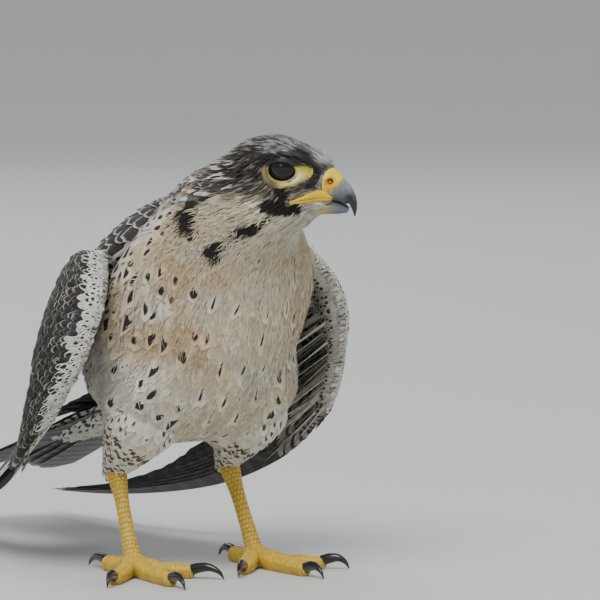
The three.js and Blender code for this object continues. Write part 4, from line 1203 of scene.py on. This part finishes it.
def coverts(name, side, face, seed):
    """The scale-like coverts of one face of the wing, in rows from the rim to the flight feathers."""
    at = wing_coat_sheet(side)
    rng = np.random.default_rng(seed)
    rows = face * np.array(OUTER_ROWS if face > 0 else INNER_ROWS)
    gap = lambda a: np.interp(a * face, COVERT_SIZE["gap at"], COVERT_SIZE["gap"])
    a, b = rows_of_roots(at, rows, gap, (0.005, 0.985), rng, 0.25, 0.12)
    rank = a * face
    n = len(a)
    long = np.interp(rank, COVERT_SIZE["at"], COVERT_SIZE["long"]) * rng.uniform(0.88, 1.1, n)
    long = np.where(b > 0.62, long * np.interp(rank, [0.1, 0.24], [1.0, 0.8]), long)
    wide = np.interp(rank, COVERT_SIZE["at"], COVERT_SIZE["wide"]) * rng.uniform(0.9, 1.15, n)
    by_a, by_b = metric(at, a, b)
    by_a_far = metric(at, a + face * 0.08, b)[0]
    sway = rng.normal(0, 0.14, n)
    tips = np.stack([a + face * long * np.cos(sway) / blend(by_a, by_a_far, 0.5),
                     b + long * np.sin(sway) / by_b], -1)
    stand = np.interp(rank, [0, 0.24], [1.5, 1.9])
    made = blades(at, np.stack([a, b], -1), tips, wide, np.full(n, -0.8), stand + rng.uniform(-0.2, 0.25, n),
                  rows=7, columns=7, fray=0.05, round_end=0.38, thick=0.3, cup=0.5,
                  limit=np.full(n, 1.0), seed=seed + 1)
    draw = rng.random(n)
    white = WHITE * (0.72 + 0.25 * draw[:, None])
    dark = blend(INK * 1.0, SLATE * 0.55, (draw**1.5)[:, None])
    if face > 0:
        rim = (rank + (draw - 0.5) * 0.035 < 0.046 + 0.012 * smooth(0.4, 0.9, b)).astype(float)
        ground = pick(rim, white, dark)
        fringe = FRINGE * (0.18 + 0.8 * rng.random((n, 1)) ** 1.3)
        edge = with_share(pick(rim, white * 1.04, fringe), rng.uniform(0.03, 0.16, (n, 1)))
        size = np.interp(rank, [-0.03, 0.0, 0.05], [0.2, 0.3, 0.55])
        spot = np.where((rim > 0.5) & (draw > 0.2), size, 0.0)
        bars = np.zeros(n)
    else:
        # Painted shade: the white of the under face is darkened away from its rim, as the shade under the
        # drooped wing.
        ground = white * np.interp(rank, [0, 0.04, 0.2], [0.95, 0.55, 0.4])[:, None]
        edge = with_share(ground, 0.1)
        spot = np.where((rank < 0.06) & (draw > 0.3), 0.4, 0.0)
        bars = np.where(rank >= 0.06, np.interp(rank, [0.06, 0.2], [1.6, 3.2]), 0.0)
    figure = BLACK_BROWN * (0.9 if face > 0 else 1.6)
    unwrap = np.stack([np.clip(b, 0, 1), np.clip(0.5 + a * 1.6, 0, 1)], -1)
    return feather_piece(name, made, unwrap, ground, edge, figure, marks_of(n, spot=spot, bars=bars),
                         firm_plumage)


quill_plumage = plumage("stiff flight feathers", 0.5, 300.0, 0.0001, shaft=0.9)
for side, name in SIDES:
    flight_feathers("secondaries_" + name, side, SECONDARIES, 70)
    primaries = flight_feathers("primaries_" + name, side, PRIMARIES, 71)
    outer = coverts("coverts_" + name, side, 1, 72)
    coverts("underwing_" + name, side, -1, 74)
    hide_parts("wing_" + name + "_arm")
    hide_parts("wing_" + name + "_hand")

# The tail
# Twelve long vanes fan out from a short root, the middle pair on top, barred dark on grey with pale tips,
# with coverts over and under their roots.
TAIL = {"feathers": 12, "length": 178.0, "width": 22.0, "root": 12.0, "fan": 40.0, "layer": 0.9,
        "top": 4.0}
TAIL_DROP = np.radians(21)
TAIL_ROOT = (74.0, 87.5)


def tail_sheet(along, across, lift):
    """A flat fan that drops to the rear and curves up a little at its tip."""
    along, across, lift = np.broadcast_arrays(along, across, lift)
    run = along * TAIL["length"]
    height = TAIL_ROOT[1] - run * np.sin(TAIL_DROP) + 9 * along**2 + lift
    half = blend(TAIL["root"], TAIL["fan"], along)
    return np.stack([across * half, TAIL_ROOT[0] + run * np.cos(TAIL_DROP), height], -1)


vanes = TAIL["feathers"]
middle = (vanes - 1) / 2
order = np.arange(vanes)
across = (order - middle) / middle * 0.84
rank = np.round(2 * np.abs(order - middle) - (order > middle))
level = TAIL["top"] - TAIL["layer"] * rank
tail_made = blades(
    tail_sheet, np.stack([np.full(vanes, 0.04), across], -1),
    np.stack([1 - 0.05 * np.abs(across), across], -1), np.full(vanes, TAIL["width"]), level, level,
    rows=44, columns=13, fray=0.008, round_end=0.09, thick=0.45, cup=0.25, seed=80,
)
tail_grey = paint("5f6064") * np.random.default_rng(8).uniform(0.9, 1.1, (vanes, 1))
tail_feathers = feather_piece(
    "tail_feathers", tail_made, np.stack([across * 0.4 + 0.5, np.full(vanes, 0.1)], -1), tail_grey,
    with_share(np.broadcast_to(paint("c8bda6"), (vanes, 3)), 0.035),
    BLACK_BROWN, marks_of(vanes, bars=11.0), quill_plumage,
)
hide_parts("tail")


def tail_coverts(name, low, lift, grey, bars, seed):
    """Rows of soft feathers over or under the roots of the tail."""
    rng = np.random.default_rng(seed)
    sign = np.sign(lift)
    a, b = np.meshgrid(np.arange(low, 0.26, 0.035), np.linspace(-0.95, 0.95, 9))
    a = (a + rng.uniform(-0.01, 0.01, a.shape)).ravel()
    b = (b + rng.uniform(-0.08, 0.08, b.shape)).ravel()
    n = len(a)
    crown = lift * (1 - 0.45 * b**2) * (1 - 0.5 * smooth(0.05, 0.45, a))
    made = blades(tail_sheet, np.stack([a, b], -1), np.stack([a + 0.19, b * 0.95], -1),
                  rng.uniform(11, 14, n), crown * 0.7, crown + sign * rng.uniform(0, 0.8, n),
                  rows=9, columns=7, fray=0.12, round_end=0.3, cup=0.5 * sign, slim=0.3, seed=seed + 1)
    draw = rng.random((n, 1))
    ground = grey * (0.85 + 0.3 * draw)
    feather_piece(name, made, np.stack([b * 0.4 + 0.5, np.clip(a + 0.2, 0, 1)], -1), ground,
                  with_share(ground * 1.25, 0.1), BLACK_BROWN, marks_of(n, bars=bars), soft_plumage)


tail_coverts("uppertail_coverts", -0.12, 11.0, paint("66666a"), 3.5, 82)
tail_coverts("undertail_coverts", -0.12, -9.0, WHITE * 0.85, 3.0, 84)

# The eyes
# Large glossy balls, nearly black: a wide pupil in a dark brown iris under a clear wet cornea. Hard to
# the touch, so they are smooth closed balls, coloured by rings about the line that they look along.


def ball_points(centre, radius, axis, rings=48, sides=72):
    """Rings about the axis: an angle from it, and a turn round it. Each point is the centre and the
    radius times the cosine of the angle along the axis and its sine across, toward the turn."""
    axis = unit(np.array(axis, float))
    side = unit(np.cross(axis, (0, 0, 1.0)))
    top = np.cross(side, axis)
    tilt = np.linspace(0.02, np.pi - 0.02, rings)[:, None, None]
    turn = np.linspace(0, 2 * np.pi, sides, endpoint=False)[None, :, None]
    out = np.cos(tilt) * axis + np.sin(tilt) * (np.cos(turn) * side + np.sin(turn) * top)
    return centre + radius * out, np.broadcast_to(tilt, (rings, sides, 1))


def coloured_tube(name, grid, colour, material, slot, *nodes):
    """A closed piece from a grid of rings (rings, sides, 3) and the colours of its points, which are
    held above the floor, in place of the nodes that it is made for."""
    points, faces = closed_tube(grid)
    points[:, 2] = np.maximum(points[:, 2], LOWEST)
    values = None
    if colour is not None:
        colour = np.broadcast_to(colour, grid.shape)
        colour = np.concatenate([colour.reshape(-1, 3), colour[[0, -1], 0]])
        values = {"ground": with_share(colour)}
    piece = mesh_piece(name, points, faces, material, values=values)
    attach(piece, "root")
    if nodes:
        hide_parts(*nodes)


LOWEST = 0.02  # millimetres above the floor
IRIS, PUPIL = np.radians([44, 27])  # seen from the middle of the eye
eye_material, tree, shader = surface("wet dark eye", 0.06, Coat_Weight=0.2, Coat_Roughness=0.02,
                                     IOR=1.38)
tree.links.new(attribute(tree, "ground").outputs[0], shader.inputs["Base Color"])
for side, name in SIDES:
    centre = on_head(0.0, 0.0, EYE_OUT * side)
    look = on_head(2.0, 0.0, (EYE_OUT + 9) * side) - centre
    grid, tilt = ball_points(centre, EYE_RADIUS, look)
    iris = smooth(PUPIL * 0.96, PUPIL * 1.04, tilt) * (1 - smooth(IRIS * 0.97, IRIS * 1.03, tilt))
    colour = blend(paint("050505"), paint("1d130d"), iris)
    coloured_tube("eye_ball_" + name, grid, colour, eye_material, "eye", "eye_" + name)

# The lids
# The bare ring of wrinkled yellow skin round the eye, thin behind and broad in front and below, with a
# dark wet edge. A closed band from the eyeball to the feathers, its folds modelled as low ridges.
surface_x, surface_turn = np.meshgrid(np.linspace(0.6, 1, 150), np.linspace(-1.4, 1.4, 150))
surface_x, surface_turn = surface_x.ravel(), surface_turn.ravel()
surface_f, surface_h, surface_out = head_measure(
    head_sheet(surface_x, surface_turn, np.zeros_like(surface_x))
)


def head_side(f, h):
    """How far out the side of the head lies at each place, as a near mean of the sheet's own points."""
    near = np.exp(-((f[:, None] - surface_f) ** 2 + (h[:, None] - surface_h) ** 2) / 0.5)
    return (near * surface_out).sum(1) / np.maximum(near.sum(1), 1e-9)


LID_RINGS, LID_SIDES = 26, 120
lid_turn = np.linspace(0, 2 * np.pi, LID_SIDES, endpoint=False)
lid_k = np.linspace(0, 1, LID_RINGS)[:, None]
lid_c, lid_s = np.cos(lid_turn), np.sin(lid_turn)
inner_f, inner_h = LID_INNER[0] * lid_c + LID_CENTRE[0], LID_INNER[1] * lid_s + LID_CENTRE[1]
outer_f = np.where(lid_c > 0, LID_OUTER["front"], LID_OUTER["back"]) * lid_c * 1.08 + LID_CENTRE[0]
outer_h = np.where(lid_s > 0, LID_OUTER["up"], LID_OUTER["under"]) * lid_s * 1.1 + LID_CENTRE[1]
lid_f, lid_h = blend(inner_f, outer_f, lid_k), blend(inner_h, outer_h, lid_k)
on_ball = EYE_OUT + np.sqrt(EYE_RADIUS**2 - inner_f**2 - inner_h**2) + 0.25
beside = head_side(lid_f.ravel(), lid_h.ravel()).reshape(lid_f.shape) - 0.5
margin = bell(lid_k, 0.07, 0.07) * 0.45
wrinkles = 0.22 * np.sin(lid_k * 30 + 0.8 * np.sin(3 * lid_turn)) * smooth(0.12, 0.3, lid_k)
lid_out = blend(on_ball, beside, smooth(0.0, 0.6, lid_k)) + margin + wrinkles * (1 - lid_k)
over_ball = EYE_OUT + np.sqrt(np.maximum(0, EYE_RADIUS**2 - lid_f**2 - lid_h**2)) + 0.3
lid_out = np.maximum(lid_out, over_ball)
deep = lid_out - 1.2 + 0.9 * bell(lid_k, 0, 0.05) + 0.9 * bell(1 - lid_k, 0, 0.05)


def flesh_finish(name, roughness, mottling, bump, **sockets):
    """A finish in the piece's own colours. The mottling is noise as grains in a metre and detail, and
    the darkest and the palest shade; the bump is noise and its height in metres."""
    material, tree, shader = surface(name, roughness, **sockets)
    grains, detail, dark, light = mottling
    shade = ramp(tree, noise(tree, grains, detail), 0.3, 0.75, dark, light)
    mottled = node(tree, "VectorMath", {0: attribute(tree, "ground").outputs[0], 1: shade},
                   operation="MULTIPLY")
    tree.links.new(mottled.outputs[0], shader.inputs["Base Color"])
    grains, detail, height = bump
    bumped(tree, shader, noise(tree, grains, detail), height)
    return material


lid_material = flesh_finish(
    "bare yellow skin", 0.62, (900.0, 3.0, 0.82, 1.12), (2600.0, 2.0, 0.00012), Subsurface_Weight=0.15,
    Subsurface_Scale=0.0015, Subsurface_Radius=(1.0, 0.6, 0.2), Coat_Weight=0.05, Coat_Roughness=0.4,
)


def ring_band(points):
    """Faces of a closed band: a grid (section, sides, 3) joined round both ways."""
    rings, sides = points.shape[:2]
    a = np.arange(rings * sides).reshape(rings, sides)
    b, c, d = np.roll(a, -1, 1), np.roll(a, (-1, -1), (0, 1)), np.roll(a, -1, 0)
    return points.reshape(-1, 3), [np.stack([a, b, c, d], -1).reshape(-1, 4)]


def lid_shade(k, turn):
    """Colour of the ring by k, from the eye to the feathers, and turn, from the front over the top: a
    dark wet edge, a thin yellow rim, a broad pale patch in front with a painted highlight of cream in it,
    dusky behind and below, and a near-black top that is the painted shadow of the brow."""
    k, turn = np.broadcast_arrays(k, turn)
    ahead, above = np.cos(turn), np.sin(turn)
    shade = np.broadcast_to(paint("4f4838"), (*k.shape, 3))
    rim = smooth(0.04, 0.1, k) * smooth(0.42, 0.22, k)
    shade = blend(shade, paint("a59a45"), (0.8 * rim)[..., None])
    patch = smooth(-0.15, 0.45, ahead - 0.35 * above - 0.1) * smooth(0.08, 0.16, k)
    shade = blend(shade, paint("c6b53a"), patch[..., None])
    # Painted highlight: a cream spot on the glossy skin, low in the front patch.
    cream_highlight = bell(k, 0.42, 0.2) * bell(turn, 5.7, 0.75)
    shade = blend(shade, paint("e6dfbf"), (0.85 * cream_highlight)[..., None])
    dusk = smooth(0.5, 0.8, k) * bell(turn, 5.2, 0.6)
    shade = blend(shade, paint("8b8469"), (0.6 * dusk)[..., None])
    behind = smooth(0.55, 0.95, -ahead) * smooth(0.95, 0.7, k)
    shade = blend(shade, paint("8f8640"), (0.6 * behind)[..., None])
    # Painted shadow of the brow: the top of the ring is near black.
    over = smooth(0.2, 0.55, above)
    shade = blend(shade, paint("0c0a08"), (0.98 * over)[..., None])
    return blend(shade, paint("120e0a"), smooth(0.1, 0.04, k)[..., None])


for side, name in SIDES:
    upper = on_head(lid_f, lid_h, lid_out * side)
    under = on_head(lid_f, lid_h, deep * side)[::-1]
    points, faces = ring_band(np.concatenate([upper, under]))
    shade = lid_shade(lid_k, lid_turn)
    shade = np.concatenate([shade, shade[::-1]]).reshape(-1, 3)
    lid = mesh_piece("lid_" + name, points, faces, lid_material, values={"ground": with_share(shade)})
    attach(lid, "root")

# The bill, the cere and the edges of the mouth
# Hard blue-grey horn that darkens to the hooked tip, with the tooth of a falcon behind the hook; over
# its base a swollen yellow cere, in which each nostril is a round pit with a peg in it; and the soft
# orange-yellow edges of the closed mouth, which run back below the eye.
UPPER_BILL = [
    [21.5, -0.5, 13, -15.6, 8.4],
    [26.2, -4.2, 18, -16.4, 8.0],
    [29.8, -7.8, 23, -17.2, 6.6],
    [33.2, -12.2, 28.6, -18.8, 4.9],
    [35.1, -17.2, 31.8, -20.2, 3.3],
    [35.4, -22.2, 33.4, -23.4, 1.6],
    [34.6, -26, 34, -26, 0.35],
]
LOWER_BILL = [
    [17, -17.8, 13, -25.2, 8.2],
    [23, -17.8, 20.5, -24.9, 6.6],
    [28, -19.3, 26, -24.8, 4.8],
    [31.2, -21.2, 30.2, -24.3, 2.5],
]
CERE_END = 2 / 6
NOSTRIL = {"forward": 22.8, "height": -8.2, "radius": 1.8, "depth": 2.4,
           "peg": ((4.6, 0.7), (6.0, 0.65), (6.7, 0.55), (7.2, 0.2))}  # how far out, and radius


def bill_grid(rows, start, end, rings, sides, grow=0.0):
    """Rings of the bill as forward, height and out. Each ring stands on the bill's lower edge: its
    points rise by the sine of the angle to the ridge and go out by the cosine, flattened a little to
    a fuller side, and the lower part is cut off level."""
    row = through(rows, np.linspace(start, end, rings)[:, None])
    top_f, top_h, low_f, low_h, half = np.moveaxis(row, -1, 0)
    length = np.hypot(top_f - low_f, top_h - low_h)
    turn = (np.arange(sides) + 0.5)[None, :] / sides * 2 * np.pi
    c, s = np.cos(turn), np.sin(turn)
    rise = (0.42 + 0.58 * s) * length * np.where(s > 0, 1, 0.72) + np.where(s > 0, grow, -grow)
    out = np.sign(c) * np.abs(c) ** 0.8 * (half + grow) * np.where(s > 0, 1 - 0.25 * s * s, 1)
    level = np.maximum(rise, -grow)
    f = low_f + (top_f - low_f) / length * level
    h = low_h + (top_h - low_h) / length * level
    return f, h, out, level / length


def cere_front(h):
    """How far forward the cere reaches at each height: its edge slants back to the mouth."""
    return np.interp(h, [-17, -15.6, -12.3, -9.9, -4.9, -1], [15.5, 18.5, 22.8, 27.4, 28.8, 27.5])


cere_material = flesh_finish(
    "waxy cere", 0.32, (500.0, 3.0, 0.86, 1.08), (1800.0, 2.0, 0.0001), Subsurface_Weight=0.25,
    Subsurface_Scale=0.0015, Subsurface_Radius=(1.0, 0.5, 0.1), Coat_Weight=0.3, Coat_Roughness=0.25,
)
horn_material = flesh_finish("bill horn", 0.24, (350.0, 5.0, 0.8, 1.15), (900.0, 4.0, 0.00008),
                             Coat_Weight=0.4, Coat_Roughness=0.12)

# The cere stands over the horn, and dips under it in front of its slanting edge
over, below = (bill_grid(UPPER_BILL, 0.0, CERE_END + 0.03, 72, 144, grow) for grow in (0.4, -0.5))
inside = smooth(-0.5, 0.25, cere_front(over[1]) - over[0])
f, h, out, level = (blend(a, b, inside) for a, b in zip(below, over))
from_pit = np.hypot(f - NOSTRIL["forward"], h - NOSTRIL["height"])
pit = NOSTRIL["depth"] * (1 - smooth(NOSTRIL["radius"] * 0.75, NOSTRIL["radius"] * 1.05, from_pit))
lip_of_pit = 0.4 * bell(from_pit, 2.4, 0.55)
swelling = 0.35 * bell(f, 22.5, 2.5) * smooth(0.3, 0.8, level)
out = out - np.sign(out) * np.where(np.abs(out) > 2, pit - lip_of_pit, 0)
h = h + swelling
colour = np.broadcast_to(paint("e8c804"), (*f.shape, 3))
# Painted highlight: the top of the cere is a paler yellow.
colour = blend(colour, paint("f5e05a"), smooth(0.6, 0.95, level)[..., None] * 0.3)
orange = 0.9 * bell(from_pit, 2.1, 0.8)
orange = orange + 0.5 * smooth(2.2, 0.6, cere_front(h) - f) * (h < -8)
colour = blend(colour, paint("cf8a1c"), np.clip(orange, 0, 1)[..., None])
# Painted shade: the inside of the nostril's pit is near black.
colour = blend(colour, paint("3a1406"), smooth(1.5, 1.1, from_pit)[..., None])
coloured_tube("cere_skin", on_head(f, h, out), colour, cere_material, "bare_skin", "cere")

for side, name in SIDES:
    rows = [[*on_head(NOSTRIL["forward"], NOSTRIL["height"], out_at * side), radius, radius]
            for out_at, radius in NOSTRIL["peg"]]
    peg = tube(rows, (0, 0, 1))
    coloured_tube("nostril_peg_" + name, ring_grid(peg, 0.0, 16, 20), paint("d99c1a"), cere_material,
                  "bare_skin")

f, h, out, level = bill_grid(UPPER_BILL, 0.02, 1.0, 140, 96, 0.0)
under_cere = 3.2 * smooth(0.2, 1.0, cere_front(h) - f)
out = out - np.sign(out) * np.minimum(np.abs(out), under_cere)
tooth = 0.9 * bell(f, 29.6, 0.9) * (1 - smooth(0.0, 0.16, level))
notch = 0.8 * bell(f, 31.8, 0.8) * (1 - smooth(0.0, 0.2, level))
h = h - tooth + notch
toward_tip = smooth(26, 33, f) * smooth(-10, -19, h)
colour = blend(paint("8d9296"), paint("43484d"), smooth(-7, -17, h)[..., None])
colour = blend(colour, paint("101214"), smooth(0.25, 0.8, toward_tip)[..., None])
colour = blend(colour, paint("b9b08c"), (smooth(26.0, 21.0, f) * 0.6)[..., None])
coloured_tube("bill_upper_horn", on_head(f, h, out), colour, horn_material, "horn", "bill_upper")

f, h, out, level = bill_grid(LOWER_BILL, 0.0, 1.0, 50, 72, 0.0)
colour = blend(paint("b9a05a"), paint("565e66"), smooth(16, 27, f)[..., None])
coloured_tube("bill_lower_horn", on_head(f, h, out), colour, horn_material, "horn", "bill_lower")

# The soft edges of the mouth from the cere back to the mouth's corner: forward, height and how far out,
# half the width and height of the upper one, how far the lower one lies below it, and half its height
LIP_ROWS = [
    [24.0, -16.2, 7.2, 0.4, 0.3, 0.9, 0.25],
    [18.5, -14.3, 9.6, 1.2, 1.9, 2.8, 1.0],
    [11.5, -15.9, 13.2, 1.3, 1.1, 1.9, 0.95],
    [4.5, -18.4, 16.6, 0.6, 0.5, 0.6, 0.42],
]
LIP_RINGS, LIP_ROUND = 60, 24
lip_rows = np.array(LIP_ROWS)
lip_rows[1:, 2] = np.maximum(lip_rows[1:, 2], head_side(lip_rows[1:, 0], lip_rows[1:, 1]) - 0.6)
along = np.linspace(0, 1, LIP_RINGS)[:, None]
ripple = 0.1 * np.sin(along * 34) * smooth(0.1, 0.4, along) * np.ones((1, LIP_ROUND))
tint = blend(paint("e8c20c"), paint("dab428"), along[..., None])
for side, name in SIDES:
    for kind, drop in (("upper", 0.0), ("lower", 1.0)):
        rows = [
            [*on_head(f, h - drop * fall, (o + 0.5) * side), a * (1.15 - 0.25 * drop),
             low if drop else b * 1.15]
            for f, h, o, a, b, fall, low in lip_rows
        ]
        grid = ring_grid(tube(rows, (0, 0, 1)), ripple, LIP_RINGS, LIP_ROUND)
        # Painted shade: the lower edge of the mouth, lying under the upper one, is a quarter darker.
        coloured_tube("mouth_edge_" + kind + "_" + name, grid, tint * (1 - 0.25 * drop), cere_material,
                      "bare_skin")

# The legs, feet and claws
# Yellow scaly skin over bone: small round scales all round the shank, plates over each toe with small
# round scales between them, and knobbly pads below. The scales are modelled as low domes. The claws are
# black horn, curved and pointed.
TARSUS = [[-0.1, 5.0, 5.0], [0.12, 5.0, 5.5], [0.4, 3.5, 4.0], [0.75, 3.5, 3.85], [1.05, 4.6, 4.6]]
TOES = {
    "inner": {"aim": -38, "length": 36, "radius": 4.4, "claw": 17},
    "middle": {"aim": 4, "length": 52, "radius": 4.3, "claw": 15},
    "outer": {"aim": 42, "length": 41, "radius": 4.0, "claw": 13},
    "hind": {"aim": 176, "length": 25, "radius": 4.6, "claw": 18},
}
# A claw from its root, in the toe, to its point: millimetres past the toe's end, and shares of the
# claw's length past it, height, half width and half depth
CLAW = [
    [-2.2, 0, 4.6, 2.6, 2.9],
    [0, 0.22, 6.2, 2.3, 2.7],
    [0, 0.55, 6.3, 1.8, 2.0],
    [0, 0.84, 4.2, 1.1, 1.2],
    [0, 1.0, 0.9, 0.3, 0.3],
]


def scales(rows, columns, along, around, height):
    """Low domes on a brick pattern: rows along the limb, each set over by half a scale."""
    row = np.floor(along * rows)
    u = along * rows - row - 0.5
    v = (around / (2 * np.pi) * columns + 0.5 * (row % 2)) % 1 - 0.5
    return height * (1 - np.minimum(1, (np.abs(2 * u) ** 4 + np.abs(2 * v) ** 4)))


def plates(count, along, around, height):
    """Plates across the top of a toe: steps along it that fade out at the sides."""
    u = (along * count) % 1
    shape = smooth(0, 0.12, u) * (1 - 0.6 * smooth(0.3, 1, u))
    return height * shape * smooth(0.2, 0.6, np.sin(around))


def toe_rows(toe, side, places):
    """Rows of a path out along a toe: how far from the foot's middle, height, half width and half
    depth of each place become x, y, z and the same two."""
    run, height, a, b = np.transpose(places)
    aim = np.radians(toe["aim"])
    return np.stack([(FOOT[0] + np.sin(aim) * run) * side, FOOT[1] - np.cos(aim) * run, height, a, b], -1)


def limb_net(rings, sides):
    """Places along and around a limb, as ring_grid sets them."""
    return np.linspace(0, 1, rings)[:, None], np.linspace(0, 2 * np.pi, sides, endpoint=False)[None, :]


leg_material = flesh_finish(
    "scaly yellow leg", 0.42, (450.0, 3.0, 0.8, 1.1), (2400.0, 2.0, 0.00015), Subsurface_Weight=0.15,
    Subsurface_Scale=0.0015, Subsurface_Radius=(1.0, 0.5, 0.15),
)
claw_material, tree, shader = surface("claw horn", 0.22, Coat_Weight=0.3, Coat_Roughness=0.15)
tree.links.new(mixed(tree, ramp(tree, noise(tree, 300.0), 0.4, 0.7), (0.006, 0.006, 0.007, 1),
                     (0.02, 0.02, 0.022, 1)), shader.inputs["Base Color"])

# Painted shade: the grooves between the scales are a darker, duller yellow.
LEG_YELLOW, LEG_GROOVE_SHADE = paint("d8b23a"), paint("8f6f24")
for side, name in SIDES:
    rows = np.array([[*blend(ANKLE, FOOT, x) * (side, 1, 1), a, b] for x, a, b in TARSUS])
    raised = scales(26, 12, *limb_net(220, 96), 0.32)
    tone = blend(LEG_GROOVE_SHADE, LEG_YELLOW, smooth(0.02, 0.2, raised)[..., None])
    coloured_tube("shank_" + name, ring_grid(tube(rows, (0, 0, 1)), raised, 220, 96), tone,
                  leg_material, "bare_skin", "tarsus_" + name)
    for toe_name, toe in TOES.items():
        x = np.linspace(0, 1, 11)
        pads = 0.5 + 0.5 * np.cos(x * 6 * np.pi)
        radius = toe["radius"] * (blend(1.0, 0.78, x) + 0.17 * pads)
        height = blend(7.2, toe["radius"] * 0.78, smooth(0, 0.45, x))
        rows = toe_rows(toe, side, np.stack([x * toe["length"], height, radius, radius], -1))
        along, around = limb_net(170, 72)
        small = scales(int(toe["length"] / 1.5), 18, along, around, 0.22)
        raised = plates(int(toe["length"] / 2.3), along, around, 0.4)
        raised = raised + small * (1 - smooth(0.2, 0.6, np.sin(around)))
        lift = raised - smooth(0.92, 1.0, along) ** 2 * np.interp(along, x, radius) * 0.55
        tone = blend(LEG_GROOVE_SHADE, LEG_YELLOW, smooth(0.0, 0.14, raised)[..., None])
        nodes = ["foot_" + name] if toe_name == "inner" else []
        coloured_tube("toe_" + toe_name + "_" + name, ring_grid(tube(rows, (0, 0, 1)), lift, 170, 72),
                      tone, leg_material, "bare_skin", *nodes)
        places = [[toe["length"] + back + reach * toe["claw"], z, a, b] for back, reach, z, a, b in CLAW]
        claw = ring_grid(tube(toe_rows(toe, side, places), (0, 0, 1)), 0.0, 60, 32)
        coloured_tube("talon_" + toe_name + "_" + name, claw, None, claw_material, "horn",
                      "claw_" + name + "_" + toe_name)

# The floor and the light
# A plain pale floor, the soft even light of an overcast day from above and to the left, and a pale sky.
floor = mesh_piece(
    "floor",
    (np.array([[-60, -60, 0], [60, -60, 0], [60, 60, 0], [-60, 60, 0]]) - SHIFT) / MM,
    [np.array([[0, 1, 2, 3]])],
)
floor_material, tree, shader = surface("pale floor", 0.8)
shader.inputs["Base Color"].default_value = (0.66, 0.66, 0.64, 1)
floor.data.materials.append(floor_material)

LIGHTS = {
    "key": {"from": (-1.5, -1.6, 2.6), "size": 1.6, "watts": 88},
    "fill": {"from": (2.2, -1.6, 1.2), "size": 2.0, "watts": 10},
    "back": {"from": (0.6, 2.4, 1.9), "size": 1.8, "watts": 22},
    "window": {"from": (-1.95, -1.7, 0.66), "size": 0.7, "watts": 3},
}
for name, light in LIGHTS.items():
    lamp_data = bpy.data.lights.new(name, "AREA")
    lamp_data.size = light["size"]
    lamp_data.energy = light["watts"]
    lamp = bpy.data.objects.new(name, lamp_data)
    bpy.context.scene.collection.objects.link(lamp)
    lamp.location = light["from"]
    lamp.rotation_mode = "QUATERNION"
    lamp.rotation_quaternion = (Vector((0, 0, 0.14)) - lamp.location).to_track_quat("-Z", "Y")

world = bpy.data.worlds.new("pale sky")
world.use_nodes = True
world.node_tree.nodes["Background"].inputs["Color"].default_value = (0.86, 0.9, 0.94, 1)
world.node_tree.nodes["Background"].inputs["Strength"].default_value = 0.6
bpy.context.scene.world = world
